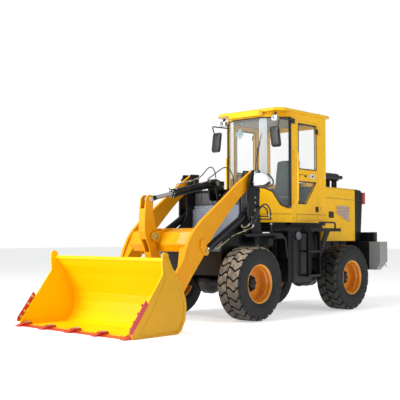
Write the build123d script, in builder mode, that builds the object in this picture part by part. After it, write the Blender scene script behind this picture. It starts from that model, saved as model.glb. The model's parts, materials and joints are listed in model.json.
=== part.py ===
from build123d import *
import math
import os

# Articulated wheel loader, standing with its bucket flat on the ground.
# Frame: origin on the ground under the middle of the machine's length and width,
# +X forward, +Y to the left, +Z up, millimetres.

# ---------------------------------------------------------------- driving sizes
REAR_AXLE_X = -2000.0
WHEELBASE = 2480.0
FRONT_AXLE_X = REAR_AXLE_X + WHEELBASE
TYRE_R = 537.5
TYRE_W = 405.0
RIM_R = 270.0
TRACK = 1580.0
STEER_X = REAR_AXLE_X + 1240.0          # articulation axis, midway
BODY_BACK = -1210.0                     # distances ahead of the rear axle
TEETH_FRONT = 5210.0

CAB_REAR, CAB_PILLAR, CAB_BEND, CAB_FRONT = 300.0, 1280.0, 1500.0, 1590.0
CAB_HALF, CAB_BEND_HALF, CAB_FRONT_HALF = 660.0, 440.0, 280.0
CAB_WALL = 35.0
FLOOR_Z, FLOOR_TOP, EAVES_Z, ROOF_TOP = 1440.0, 1470.0, 3180.0, 3245.0
DOOR_REAR, DOOR_FRONT, DOOR_LOW, DOOR_HIGH = 530.0, 1144.0, 1478.0, 3080.0
GAP = 5.0

ARM_Y, ARM_T = 620.0, 45.0
BOOM_PIVOT = (2235.0, 2140.0)
BUCKET_PIN = (4050.0, 300.0)
LIFT_REAR, LIFT_FRONT = (2265.0, 1600.0), (3285.0, 1010.0)
CRANK_PIVOT, CRANK_TOP, CRANK_LOW = (3725.0, 1215.0), (3785.0, 1735.0), (3655.0, 600.0)
LINK_BUCKET = (4075.0, 482.0)
TILT_REAR = (2400.0, 2028.0)
BUCKET_HALF = 1123.0
HOOD_PIVOT = (-1050.0, 1330.0)


def fx(v):
    """Distance ahead of the rear axle -> X."""
    return REAR_AXLE_X + v


def move(points):
    return [(fx(a), b) for a, b in points]


# ---------------------------------------------------------------- shape helpers
def side_plate(points, y, t, mode=Mode.ADD):
    """A plate drawn in side view (X ahead of the rear axle, Z), centred on y."""
    with BuildSketch(Plane.XZ.offset(-y)) as s:
        with BuildLine():
            Polyline(*move(points), close=True)
        make_face()
    extrude(s.sketch, amount=t / 2, both=True, mode=mode)


def plan_plate(points, z0, z1, mode=Mode.ADD):
    """A plate drawn in plan (X ahead of the rear axle, Y) between two heights."""
    with BuildSketch(Plane.XY.offset(z0)) as s:
        with BuildLine():
            Polyline(*move(points), close=True)
        make_face()
    extrude(s.sketch, amount=z1 - z0, mode=mode)


def cross_round(point, r, y0, y1, mode=Mode.ADD):
    """A round bar or hole along Y at a side-view point."""
    with BuildSketch(Plane.XZ.offset(-y0)) as s:
        with Locations((fx(point[0]), point[1])):
            Circle(r)
    extrude(s.sketch, amount=-(y1 - y0), mode=mode)


def block(x0, x1, y0, y1, z0, z1, mode=Mode.ADD):
    """A box between limits, X ahead of the rear axle."""
    with Locations((fx((x0 + x1) / 2), (y0 + y1) / 2, (z0 + z1) / 2)):
        Box(x1 - x0, y1 - y0, z1 - z0, mode=mode)


def bar(p, q, r, mode=Mode.ADD):
    """A round bar between two points (X ahead of the rear axle)."""
    a, b = Vector(fx(p[0]), p[1], p[2]), Vector(fx(q[0]), q[1], q[2])
    with BuildSketch(Plane(origin=a, z_dir=b - a)) as s:
        Circle(r)
    extrude(s.sketch, amount=(b - a).length, mode=mode)


def bent_tube(points, radii, r):
    """A round tube along straight runs and tangent arcs."""
    pts = [Vector(fx(a), b, c) for a, b, c in points]
    with BuildLine() as route:
        FilletPolyline(*pts, radius=radii)
    line = route.line
    with BuildSketch(Plane(origin=line @ 0, z_dir=line % 0)) as s:
        Circle(r)
    sweep(s.sketch, path=line)


def hose(points, r, name):
    """A flexible hose: each arc as large as the runs beside it allow."""
    pts = [Vector(*p) for p in points]
    radii = []
    for a, b, c in zip(pts, pts[1:], pts[2:]):
        turn = math.radians((b - a).get_angle(c - b))
        radii.append(0.45 * min((b - a).length, (c - b).length) / math.tan(turn / 2))
    with BuildLine() as route:
        FilletPolyline(*[(fx(p.X), p.Y, p.Z) for p in pts], radius=radii)
    line = route.line
    with BuildSketch(Plane(origin=line @ 0, z_dir=line % 0)) as s:
        Circle(r)
    tube = sweep(s.sketch, path=line)
    length = sum(e.length for e in line.edges())
    print(name, "length", round(length, 1), "least radius", round(min(radii)), "diameters", round(min(radii) / r / 2, 1),
          "volume over section x length", round(tube.volume / (math.pi * r * r * length), 4))


def inset_path(points, t):
    """The same open path moved t to the left of its direction."""
    out = []
    n = len(points)
    for i in range(n):
        dirs = []
        if i > 0:
            dirs.append((points[i][0] - points[i - 1][0], points[i][1] - points[i - 1][1]))
        if i < n - 1:
            dirs.append((points[i + 1][0] - points[i][0], points[i + 1][1] - points[i][1]))
        norms = [(-d[1] / math.hypot(*d), d[0] / math.hypot(*d)) for d in dirs]
        nx, nz = sum(a for a, _ in norms), sum(b for _, b in norms)
        k = t / ((nx * norms[0][0] + nz * norms[0][1]) or 1.0)
        out.append((points[i][0] + nx * k, points[i][1] + nz * k))
    return out


def along(p, q, d):
    """The point d beyond p on the line from p to q."""
    n = math.hypot(q[0] - p[0], q[1] - p[1])
    return (p[0] + (q[0] - p[0]) * d / n, p[1] + (q[1] - p[1]) * d / n)


def write(builder, name):
    builder.part.label = name
    export_step(builder.part, f"parts/{name}.step")


os.makedirs("parts", exist_ok=True)
for old in os.listdir("parts"):
    if old.endswith(".step"):
        os.remove(os.path.join("parts", old))

# ---------------------------------------------------------------- wheels
# columns: name, X ahead of the rear axle, side (+1 left, -1 right)
WHEELS = [
    ("rear_left", 0.0, 1), ("rear_right", 0.0, -1),
    ("front_left", WHEELBASE, 1), ("front_right", WHEELBASE, -1),
]
# tyre section: radius, distance from the tyre's centre plane
TYRE_SECTION = [
    (RIM_R, -150.0), (292.0, -168.0), (330.0, -192.0), (400.0, -TYRE_W / 2), (455.0, -200.0),
    (505.0, -186.0), (TYRE_R, -160.0), (TYRE_R, 160.0), (505.0, 186.0),
    (455.0, 200.0), (400.0, TYRE_W / 2), (330.0, 192.0), (292.0, 168.0), (RIM_R, 150.0),
]
for wheel_name, wheel_x, side in WHEELS:
    centre_y = side * TRACK / 2
    axle_line = Plane(origin=(fx(wheel_x), centre_y, TYRE_R), x_dir=(1, 0, 0), z_dir=(0, 0, 1))
    with BuildPart() as tyre:
        with BuildSketch(axle_line):
            with BuildLine():
                Polyline(*[(r, v) for r, v in TYRE_SECTION], close=True)
            make_face()
        revolve(axis=Axis((fx(wheel_x), centre_y, TYRE_R), (0, 1, 0)))
    write(tyre, f"tyre_{wheel_name}")
    # rim: radius, distance outboard of the centre plane
    rim_section = [
        (RIM_R, -150.0), (292.0, -168.0), (292.0, -176.0), (262.0, -176.0), (255.0, -150.0),
        (232.0, -120.0), (232.0, -16.0), (52.0, -16.0), (52.0, 2.0), (232.0, 2.0),
        (236.0, 96.0), (250.0, 120.0), (254.0, 158.0), (268.0, 176.0), (292.0, 176.0),
        (292.0, 168.0), (RIM_R, 150.0),
    ]
    with BuildPart() as rim:
        with BuildSketch(axle_line):
            with BuildLine():
                Polyline(*[(r, side * v) for r, v in rim_section], close=True)
            make_face()
        revolve(axis=Axis((fx(wheel_x), centre_y, TYRE_R), (0, 1, 0)))
    write(rim, f"rim_{wheel_name}")

# ---------------------------------------------------------------- axles
# half section: radius, distance from the machine's middle
AXLE_SECTION = [
    (0.0, 0.0), (182.0, 0.0), (182.0, 60.0), (160.0, 120.0), (105.0, 190.0), (80.0, 260.0),
    (78.0, 470.0), (112.0, 500.0), (112.0, 600.0), (150.0, 612.0), (150.0, 700.0),
    (95.0, 715.0), (95.0, 765.0), (0.0, 765.0),
]
# columns: name, X ahead of the rear axle, nose direction, pad distance from the middle, pad top
for axle_name, axle_x, nose, pad_y, pad_z in [("rear_axle", 0.0, 1, 330.0, 640.0), ("front_axle", WHEELBASE, -1, 540.0, 655.0)]:
    with BuildPart() as axle:
        for s in (1, -1):
            with BuildSketch(Plane(origin=(fx(axle_x), 0, TYRE_R), x_dir=(1, 0, 0), z_dir=(0, 0, 1))):
                with BuildLine():
                    Polyline(*[(r, s * v) for r, v in AXLE_SECTION], close=True)
                make_face()
            revolve(axis=Axis((fx(axle_x), 0, TYRE_R), (0, 1, 0)))
        bar((axle_x, 0, TYRE_R), (axle_x + nose * 290, 0, TYRE_R), 82)
        bar((axle_x + nose * 280, 0, TYRE_R), (axle_x + nose * 320, 0, TYRE_R), 58)
        for s in (1, -1):
            block(axle_x - 70, axle_x + 70, s * pad_y - 20, s * pad_y + 20, TYRE_R, pad_z)
    write(axle, axle_name)

# ---------------------------------------------------------------- rear chassis
with BuildPart() as rear_chassis:
    for s in (1, -1):
        block(-950, 860, s * 330 - 15, s * 330 + 15, 640, 860)
        for post_x in (420, 800):
            block(post_x - 30, post_x + 30, s * 330 - 15, s * 330 + 15, 860, 1290)
        # steering cylinder lugs on the rails' outer faces
        for z0 in (628, 716):
            block(660, 740, min(s * 345, s * 505), max(s * 345, s * 505), z0, z0 + 16)
        block(700, 720, min(s * 315, s * 345), max(s * 315, s * 345), 515, 845)
    block(-950, -900, -315, 315, 640, 860)
    block(-500, -440, -315, 315, 640, 700)
    block(780, 860, -345, 345, 500, 860)
    # yoke: two levels of plates around the articulation pin
    for z0 in (815, 515):
        plan_plate([(700, -345), (860, -345), (1180, -115), (1180, 115), (860, 345), (700, 345)], z0, z0 + 30)
        with Locations((STEER_X, 0, z0 + 15)):
            Cylinder(118, 30)
    with Locations((STEER_X, 0, 681)):
        Cylinder(40, 372)
    with Locations((STEER_X, 0, 856)):
        Cylinder(62, 22)
write(rear_chassis, "rear_chassis")

with BuildPart() as engine:
    block(-760, 200, -290, 290, 760, 1760)
    block(-840, -760, -330, 330, 900, 1820)
    block(200, 560, -210, 210, 640, 1180)
    block(480, 640, -100, 100, 470, 700)
    # drive shaft forward from the rear axle's nose
    bar((322, 0, TYRE_R), (490, 0, TYRE_R), 32)
write(engine, "engine_block")

# ---------------------------------------------------------------- counterweight with its tow clevis
with BuildPart() as counterweight:
    with BuildSketch(Plane.YZ.offset(fx(-950))):
        with BuildLine():
            Polyline((-950, 760), (-880, 630), (880, 630), (950, 760), (950, 1125), (-950, 1125), close=True)
        make_face()
    extrude(amount=BODY_BACK + 950)
    block(-1205, -1100, -750, 750, 1125, 1295)
    # slanted lower rear edge
    with BuildSketch(Plane.XZ) as s_cut:
        with BuildLine():
            Polyline(*move([(-1090, 620), (-1220, 800), (-1220, 620)]), close=True)
        make_face()
    extrude(s_cut.sketch, amount=1000, both=True, mode=Mode.SUBTRACT)
    # tow recess with two ears
    block(-1220, -1060, -90, 90, 600, 960, mode=Mode.SUBTRACT)
    for z0 in (765, 865):
        block(-1200, -1060, -90, 90, z0, z0 + 25)
    with Locations((fx(-1150), 0, 830)):
        Cylinder(20.5, 160, mode=Mode.SUBTRACT)
    # hood hinge brackets
    for s in (1, -1):
        y0, y1 = min(s * 338, s * 392), max(s * 338, s * 392)
        block(-1125, -1034, y0, y1, 1262, 1292)
        block(-1064, -1036, y0, y1, 1285, HOOD_PIVOT[1])
        cross_round(HOOD_PIVOT, 16, y0, y1)
write(counterweight, "counterweight")

# ---------------------------------------------------------------- cab
CAB_PLAN = [
    (CAB_REAR, -CAB_HALF), (CAB_PILLAR, -CAB_HALF), (CAB_BEND, -CAB_BEND_HALF), (CAB_FRONT, -CAB_FRONT_HALF),
    (CAB_FRONT, CAB_FRONT_HALF), (CAB_BEND, CAB_BEND_HALF), (CAB_PILLAR, CAB_HALF), (CAB_REAR, CAB_HALF),
]


def cab_loop(t):
    """The cab's plan with its wall set in by t, as a closed loop."""
    closed = CAB_PLAN + CAB_PLAN[:2]
    moved = inset_path([CAB_PLAN[-1]] + closed, t)
    return moved[1:len(CAB_PLAN) + 1]


# the sloping sill under the windscreen, seen from the side
SILL = [(CAB_PILLAR, 1650), (1400, 1715), (CAB_BEND - 5, 1930), (1560, 1985), (1750, 1985), (1750, 3105), (CAB_PILLAR, 3105)]
with BuildPart() as cab_shell:
    plan_plate(CAB_PLAN, FLOOR_Z, EAVES_Z)
    plan_plate(cab_loop(CAB_WALL), FLOOR_TOP, EAVES_Z + 1, mode=Mode.SUBTRACT)
    side_plate(SILL, 0, 2000, mode=Mode.SUBTRACT)
    side_plate([(DOOR_REAR, DOOR_LOW - 3), (DOOR_FRONT, DOOR_LOW - 3), (DOOR_FRONT, DOOR_HIGH), (DOOR_REAR, DOOR_HIGH)], 0, 2000, mode=Mode.SUBTRACT)
    with BuildSketch(Plane.YZ.offset(fx(CAB_REAR - 10))) as rear_cut:
        with Locations((0, 2580)):
            RectangleRounded(1000, 900, 60)
    extrude(rear_cut.sketch, amount=80, mode=Mode.SUBTRACT)
    # cab half of each door hinge
    for s in (1, -1):
        for z in (1640, 2960):
            with Locations((fx(DOOR_REAR - 2), s * 674, z)):
                Cylinder(10, 40)
            block(460, DOOR_REAR - 2, min(s * 658, s * 668), max(s * 658, s * 668), z - 20, z + 20)
write(cab_shell, "cab_shell")

with BuildPart() as cab_base:
    plan_plate([(310, -560), (1300, -560), (1480, -430), (1560, -270), (1560, 270), (1480, 430), (1300, 560), (310, 560)], 1290, FLOOR_Z)
write(cab_base, "cab_base")

with BuildPart() as cab_roof:
    plan_plate([(178, -640), (220, -682), (1492, -688), (1612, -567), (1612, 567), (1492, 688), (220, 682), (178, 640)], EAVES_Z + 18, ROOF_TOP)
    chamfer(cab_roof.faces().sort_by(Axis.Z)[-1].edges(), 18)
    plan_plate([(310, -655), (1275, -655), (1495, -438), (1585, -278), (1585, 278), (1495, 438), (1275, 655), (310, 655)], EAVES_Z, EAVES_Z + 20)
    plan_plate([(1605, -340), (1665, -310), (1665, 310), (1605, 340)], 3135, 3215)
    for s in (1, -1):
        block(330, 390, s * 560 - 8, s * 560 + 8, ROOF_TOP - 4, ROOF_TOP + 32)
write(cab_roof, "cab_roof")

with BuildPart() as windscreen:
    plan_plate(cab_loop(12), 1640, 3105)
    plan_plate(cab_loop(20), 1630, 3110, mode=Mode.SUBTRACT)
    side_plate([(CAB_PILLAR, 1650), (CAB_PILLAR, 1600), (0, 1600), (0, 3200), (CAB_PILLAR, 3200)], 0, 2000, mode=Mode.SUBTRACT)
    side_plate(SILL[:4] + [(1750, 1985), (1750, 1500), (CAB_PILLAR - 60, 1500), (CAB_PILLAR - 60, 1650)], 0, 2000, mode=Mode.SUBTRACT)
    # rear pane
    with BuildSketch(Plane.YZ.offset(fx(CAB_REAR + 14))) as rear_pane:
        with Locations((0, 2580)):
            RectangleRounded(1000, 900, 60)
    extrude(rear_pane.sketch, amount=8)
write(windscreen, "cab_windows")

# ---------------------------------------------------------------- doors
UPPER_PANE = [(572, 2295), (1092, 2295), (1092, 3040), (572, 3040)]
LOWER_PANE = [(575, 2105), (1095, 2105), (1095, 1735), (885, 1735), (690, 1965)]
for door_name, s in [("left", 1), ("right", -1)]:
    with BuildPart() as door:
        side_plate([(DOOR_REAR + GAP, DOOR_LOW), (DOOR_FRONT - GAP, DOOR_LOW), (DOOR_FRONT - GAP, DOOR_HIGH - GAP), (DOOR_REAR + GAP, DOOR_HIGH - GAP)], s * 643.5, 33)
        side_plate(UPPER_PANE, s * 640, 100, mode=Mode.SUBTRACT)
        side_plate(LOWER_PANE, s * 640, 100, mode=Mode.SUBTRACT)
        for z in (1684, 2916):
            with Locations((fx(DOOR_REAR - 2), s * 674, z)):
                Cylinder(10, 40)
            block(DOOR_REAR - 2, 600, min(s * 660, s * 668), max(s * 660, s * 668), z - 20, z + 20)
        # handle
        block(960, 1080, min(s * 660, s * 690), max(s * 660, s * 690), 2165, 2200)
    write(door, f"door_{door_name}")
    with BuildPart() as panes:
        side_plate(UPPER_PANE, s * 643, 6)
        side_plate(LOWER_PANE, s * 643, 6)
    write(panes, f"door_glass_{door_name}")

# ---------------------------------------------------------------- cab fittings
with BuildPart() as seat_base:
    block(620, 960, -190, 190, FLOOR_TOP, 1770)
    block(600, 700, 240, 330, FLOOR_TOP, 1980)
    block(600, 700, 180, 250, 1600, 1700)
write(seat_base, "seat_base")
with BuildPart() as seat_cushion:
    block(580, 1030, -235, 235, 1772, 1890)
    fillet(seat_cushion.edges(), 30)
write(seat_cushion, "seat_cushion")
with BuildPart() as seat_backrest:
    side_plate([(470, 1900), (585, 1900), (560, 2200), (500, 2560), (400, 2560), (440, 2200)], 0, 460)
    fillet(seat_backrest.edges(), 24)
write(seat_backrest, "seat_backrest")
with BuildPart() as dashboard:
    side_plate([(1330, FLOOR_TOP), (1545, FLOOR_TOP), (1545, 1900), (1430, 2060), (1330, 2060)], 0, 460)
    bar((1400, 0, 1900), (1210, 0, 2130), 32)
write(dashboard, "dashboard")
with BuildPart() as steering_wheel:
    wheel_plane = Plane(origin=(fx(1197), 0, 2146), z_dir=(-190, 0, 230))
    with BuildSketch(Plane(origin=wheel_plane.origin, x_dir=wheel_plane.z_dir, z_dir=(0, 1, 0))) as ring:
        with Locations((30, 195)):
            Circle(14)
    revolve(ring.sketch, axis=Axis(wheel_plane.origin, wheel_plane.z_dir))
    with BuildSketch(wheel_plane) as hub:
        Circle(45)
    extrude(hub.sketch, amount=34)
    with BuildSketch(wheel_plane.offset(22)) as spokes:
        Rectangle(390, 26)
    extrude(spokes.sketch, amount=10)
write(steering_wheel, "steering_wheel")

with BuildPart() as mirrors:
    for s in (1, -1):
        bent_tube([(1230, s * 668, 3060), (1230, s * 700, 3060), (1631, s * 700, 3050), (1631, s * 650, 2900)], [20, 45], 11)
        # the head leans outwards at its lower end
        with BuildSketch(Plane.YZ.offset(fx(1608))) as head:
            with BuildLine():
                Polyline((s * 496, 2939), (s * 680, 2939), (s * 720, 2609), (s * 536, 2609), close=True)
            make_face()
        extrude(head.sketch, amount=47)
        block(1190, 1275, min(s * 660, s * 676), max(s * 660, s * 676), 3010, 3095)
write(mirrors, "mirrors")

with BuildPart() as cab_lamps:
    for s in (1, -1):
        block(1480, 1560, s * 532 - 57, s * 532 + 57, 3040, 3130)
        block(1510, 1530, s * 532 - 12, s * 532 + 12, 3125, EAVES_Z + 18)
write(cab_lamps, "cab_lamps")

with BuildPart() as grab_rails:
    for s in (1, -1):
        bent_tube([(1215, s * 660, 1760), (1215, s * 742, 1760), (1215, s * 742, 2560), (1215, s * 660, 2560)], [40, 40], 14)
write(grab_rails, "grab_rails")

# ---------------------------------------------------------------- platforms, tanks, ladders
with BuildPart() as platforms:
    for s in (1, -1):
        plan_plate([(225, s * 560), (225, s * 900), (1085, s * 900), (1140, s * 795), (1590, s * 785), (1755, s * 640), (1755, s * 560)], 1300, 1352)
        # slanted bracket plates down to the rear
        side_plate([(541, 1300), (705, 1300), (790, 985), (750, 985)], s * 880, 20)
write(platforms, "platforms")

with BuildPart() as side_tanks:
    for s in (1, -1):
        plan_plate([(1000, s * 560), (1000, s * 845), (1470, s * 845), (1550, s * 785), (1550, s * 560)], 505, 1300)
write(side_tanks, "side_tanks")

with BuildPart() as ladders:
    for s in (1, -1):
        for rail_x in (913, 1223):
            with BuildSketch(Plane.YZ.offset(fx(rail_x) - 5)) as stile:
                with BuildLine():
                    Polyline((s * 900, 590), (s * 946, 590), (s * 946, 1270), (s * 920, 1299), (s * 845, 1299), (s * 845, 1262), (s * 900, 1262), close=True)
                make_face()
            extrude(stile.sketch, amount=10)
        for rung_z in (592, 968):
            block(913, 1223, min(s * 862, s * 944), max(s * 862, s * 944), rung_z, rung_z + 28)
write(ladders, "ladders")

with BuildPart() as platform_rails:
    for s in (1, -1):
        bent_tube([(372, s * 880, 1352), (372, s * 880, 1445), (845, s * 880, 1445), (845, s * 880, 1352)], [40, 40], 14)
write(platform_rails, "platform_rails")

# ---------------------------------------------------------------- hood
HOOD_SIDE = [(250, 1140), (250, 2068), (-900, 2060), (-1000, 2052), (-1040, 1900), (-985, 1300), (-975, 1140)]
with BuildPart() as hood:
    side_plate(HOOD_SIDE, 0, 1100)
    fillet(hood.faces().sort_by(Axis.Z)[-1].edges().filter_by(Axis.X, tolerance=3), 45)
    side_plate([(300, 1100), (300, 2030), (-880, 2022), (-930, 1900), (-880, 1100)], 0, 1030, mode=Mode.SUBTRACT)
    for s in (1, -1):
        # trapezoid vents in the side panels
        side_plate([(-175, 1759), (-594, 1754), (-589, 1454), (-173, 1604)], s * 550, 120, mode=Mode.SUBTRACT)
    # rear opening for the grille
    with BuildSketch(Plane.YZ.offset(fx(-1100))) as back_cut:
        with Locations((0, 1550)):
            Rectangle(960, 900)
    extrude(back_cut.sketch, amount=250, mode=Mode.SUBTRACT)
write(hood, "hood")

with BuildPart() as hood_vents:
    for s in (1, -1):
        side_plate([(-175, 1759), (-594, 1754), (-589, 1454), (-173, 1604)], s * 530, 8)
write(hood_vents, "hood_vents")

with BuildPart() as rear_grille:
    side_plate([(-960, 1998), (-1030, 1998), (-1045, 2040), (-1110, 2030), (-1155, 2005), (-1120, 1760), (-1010, 1660), (-1095, 1551), (-1010, 1370), (-985, 1202), (-950, 1202)], 0, 956)
    side_plate([(-900, 1985), (-1125, 1985), (-1094, 1772), (-975, 1664), (-1062, 1551), (-978, 1375), (-958, 1225), (-900, 1225)], 0, 900, mode=Mode.SUBTRACT)
    for s in (1, -1):
        y0, y1 = min(s * 270, s * 332), max(s * 270, s * 332)
        cross_round(HOOD_PIVOT, 16, y0, y1)
        block(-1050, -988, y0, y1, 1322, 1338)
write(rear_grille, "rear_grille")

with BuildPart() as tail_lamps:
    for s in (1, -1):
        block(-1150, -1060, min(s * 478, s * 545), max(s * 478, s * 545), 1800, 2010)
write(tail_lamps, "tail_lamps")

with BuildPart() as air_cleaner:
    bar((-280, 200, 2280), (-735, 200, 2280), 70)
    bar((-735, 200, 2280), (-900, 200, 2290), 34)
    bar((-330, 200, 2280), (-330, 200, 2065), 40)
    for leg_x, leg_z in ((-440, 2064), (-660, 2062)):
        block(leg_x - 12, leg_x + 12, 150, 250, leg_z, 2260)
write(air_cleaner, "air_cleaner")

# ---------------------------------------------------------------- front chassis
with BuildPart() as front_chassis:
    # neck and its two yoke levels
    block(1400, 2030, -200, 200, 556, 810)
    for z0 in (770, 556):
        plan_plate([(1240, -108), (1400, -190), (1400, 190), (1240, 108)], z0, z0 + 40)
        with Locations((STEER_X, 0, z0 + 20)):
            Cylinder(108, 40)
    block(1400, 1700, -160, 160, 596, 770, mode=Mode.SUBTRACT)
    with Locations((STEER_X, 0, 683)):
        Cylinder(40.1, 400, mode=Mode.SUBTRACT)
    # box between the wheels
    block(2020, 2045, -552, 552, 655, 1240)
    block(2045, 2850, -552, 552, 830, 855)
    block(2825, 2850, -552, 552, 655, 1000)
    for s in (1, -1):
        side_plate([(2142, 2203), (2325, 2199), (2392, 2040), (2421, 1875), (2423, 1560), (2500, 1430), (2780, 1230), (2850, 1000), (2850, 655), (2020, 655), (2020, 1240), (2112, 1250), (2165, 1660)], s * 540, 25)
        side_plate([(2142, 2203), (2325, 2199), (2392, 2040), (2421, 1875), (2423, 1440), (2362, 1360), (2335, 1245), (2112, 1245), (2120, 1300), (2165, 1660)], s * 700, 25)
        # closing strips behind and under the lift cylinder
        block(2125, 2335, min(s * 552, s * 688), max(s * 552, s * 688), 1245, 1270)
        block(2150, 2165, min(s * 552, s * 688), max(s * 552, s * 688), 1270, 1480)
        # steering cylinder lugs on the neck
        for z0 in (628, 716):
            block(1450, 1550, min(s * 195, s * 335), max(s * 195, s * 335), z0, z0 + 16)
        # pins of the boom and the lift cylinder
        cross_round(BOOM_PIVOT, 35, min(s * 528, s * 730), max(s * 528, s * 730))
        cross_round(LIFT_REAR, 30, min(s * 528, s * 716), max(s * 528, s * 716))
    # cross beams between the towers and the tilt bracket
    block(2205, 2245, -528, 528, 1690, 1920)
    block(2165, 2262, -528, 528, 1915, 1940)
    block(2195, 2270, -64, 64, 1895, 1945, mode=Mode.SUBTRACT)
    for s in (1, -1):
        side_plate([(2238, 1800), (2275, 1765), (2375, 1765), (2400, 1800), (2425, 1935), (2455, 2000), (2455, 2055), (2430, 2080), (2375, 2080), (2330, 2064), (2238, 2064)], s * 75, 22)
    cross_round(TILT_REAR, 30, -100, 100)
write(front_chassis, "front_chassis")

with BuildPart() as front_cover:
    side_plate([(2247, 1700), (2262, 1700), (2262, 1648), (2300, 1640), (2300, 1370), (2420, 1250), (2640, 1150), (2640, 856), (2626, 856), (2626, 1140), (2412, 1237), (2285, 1362), (2285, 1628), (2247, 1638)], 0, 1040)
write(front_cover, "front_cover")

with BuildPart() as front_fenders:
    for s in (1, -1):
        side_plate([(2781, 1250), (1930, 1272), (1822, 1190), (1829, 1185), (1934, 1264), (2781, 1242)], s * 831, 237)
        # the outer half's flap, carried down behind the tyre
        side_plate([(1822, 1190), (1831, 1187), (1779, 893), (1770, 893)], s * 890, 120)
        side_plate([(2781, 1250), (1930, 1272), (1822, 1190), (1770, 893), (1796, 893), (1850, 1176), (1945, 1238), (2781, 1214)], s * 947, 6)
        # the closing wall beside the tower
        side_plate([(1826, 1188), (1932, 1268), (2112, 1263), (2112, 1090), (1826, 1090)], s * 707, 14)
write(front_fenders, "front_fenders")

with BuildPart() as headlights:
    for s in (1, -1):
        block(2275, 2350, min(s * 736, s * 1020), max(s * 736, s * 1020), 1950, 2150)
        block(2288, 2344, min(s * 712.5, s * 740), max(s * 712.5, s * 740), 1985, 2050)
write(headlights, "headlights")

# ---------------------------------------------------------------- boom
ARM_OUTLINE = [
    (2235, 2203), (2588, 1989), (2818, 1817), (3095, 1621), (3363, 1437), (3518, 1296), (3600, 1190),
    (3683, 1027), (3728, 901), (3850, 745), (3960, 560), (4100, 372), (4050, 217), (3975, 232),
    (3702, 491), (3650, 561), (3467, 782), (3336, 930), (3230, 1090), (3096, 1262), (2861, 1490),
    (2704, 1636), (2545, 1776), (2158, 2060),
]
BEAM_SECTION = [(3320, 1335), (3570, 1275), (3655, 1122), (3655, 1104), (3625, 1010), (3400, 1010), (3320, 1180)]
with BuildPart() as boom:
    for s in (1, -1):
        side_plate(ARM_OUTLINE, s * ARM_Y, ARM_T)
        cross_round(BOOM_PIVOT, 58, s * ARM_Y - ARM_T / 2, s * ARM_Y + ARM_T / 2)
        cross_round(BUCKET_PIN, 84, s * ARM_Y - ARM_T / 2, s * ARM_Y + ARM_T / 2)
        # room for the lift cylinder's end in the arm's lower edge
        lift_n = math.hypot(LIFT_FRONT[0] - LIFT_REAR[0], LIFT_FRONT[1] - LIFT_REAR[1])
        relief = along(LIFT_REAR, LIFT_FRONT, lift_n - 330)
        bar((relief[0], s * ARM_Y, relief[1]), (LIFT_FRONT[0], s * ARM_Y, LIFT_FRONT[1]), 72, mode=Mode.SUBTRACT)
        cross_round(LIFT_FRONT, 66, s * ARM_Y - 60, s * ARM_Y + 60, mode=Mode.SUBTRACT)
        for e in (1, -1):
            side_plate([(3238, 1030), (3238, 985), (3268, 955), (3312, 955), (3352, 985), (3410, 1060), (3400, 1170), (3330, 1180), (3276, 1062)], s * ARM_Y + e * 33.5, 22)
            cross_round(LIFT_FRONT, 30, s * ARM_Y + e * 44.5 - 8, s * ARM_Y + e * 44.5 + 8)
        cross_round(BOOM_PIVOT, 35.1, s * ARM_Y - 60, s * ARM_Y + 60, mode=Mode.SUBTRACT)
        cross_round(BUCKET_PIN, 30.1, s * ARM_Y - 60, s * ARM_Y + 60, mode=Mode.SUBTRACT)
        # the cross beam narrows towards the arm
        with BuildSketch(Plane.XZ.offset(-s * 598)) as at_arm:
            with BuildLine():
                Polyline(*move([(3330, 1335), (3510, 1282), (3600, 1105), (3600, 1087), (3585, 1010), (3400, 1010), (3330, 1180)]), close=True)
            make_face()
        with BuildSketch(Plane.XZ.offset(-s * 440)) as inboard:
            with BuildLine():
                Polyline(*move(BEAM_SECTION), close=True)
            make_face()
        loft(sections=[at_arm.sketch.face(), inboard.sketch.face()])
        # knee gusset down the arm's front edge
        with BuildSketch(Plane(origin=(fx(3606), 0, 1090), x_dir=(0, 1, 0), z_dir=(0.895, 0, 0.445))) as knee:
            with BuildLine():
                Polyline((s * 600, 12), (s * 452, 12), (s * 570, -372), (s * 600, -372), close=True)
            make_face()
        extrude(knee.sketch, amount=6, both=True)
    side_plate(BEAM_SECTION, 0, 880)
    block(3520, 3720, -73, 73, 900, 1400, mode=Mode.SUBTRACT)
    for s in (1, -1):
        side_plate([(3375, 1322), (3480, 1335), (3700, 1290), (3765, 1272), (3790, 1235), (3788, 1190), (3755, 1155), (3690, 1138), (3497, 1040), (3400, 1040)], s * 86, 22)
    cross_round(CRANK_PIVOT, 30, -100, 100)
write(boom, "boom")

# ---------------------------------------------------------------- bellcrank and link
CRANK_OUTLINE = [
    (3733, 1736), (3745, 1775), (3772, 1797), (3815, 1797), (3850, 1778), (3874, 1738), (3894, 1558), (3900, 1400),
    (3898, 1290), (3868, 1180), (3812, 1080), (3790, 1000), (3742, 760), (3718, 600), (3692, 558), (3645, 545),
    (3602, 570), (3590, 640), (3590, 860), (3614, 1082), (3642, 1240), (3702, 1400), (3740, 1580),
]
with BuildPart() as bellcrank:
    for s in (1, -1):
        side_plate(CRANK_OUTLINE, s * 51, 20)
    cross_round(CRANK_PIVOT, 70, -61, 61)
    side_plate([(3888, 1605), (3894, 1558), (3900, 1400), (3898, 1290), (3868, 1180), (3850, 1188), (3878, 1292), (3882, 1400), (3875, 1556), (3870, 1605)], 0, 100)
    side_plate([(3790, 1000), (3750, 800), (3734, 803), (3774, 1003)], 0, 100)
    cross_round(CRANK_PIVOT, 30.1, -80, 80, mode=Mode.SUBTRACT)
    cross_round(CRANK_LOW, 25, -66, 66)
    for s in (1, -1):
        cross_round(CRANK_TOP, 34, min(s * 60, s * 72), max(s * 60, s * 72))
write(bellcrank, "bellcrank")

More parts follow.
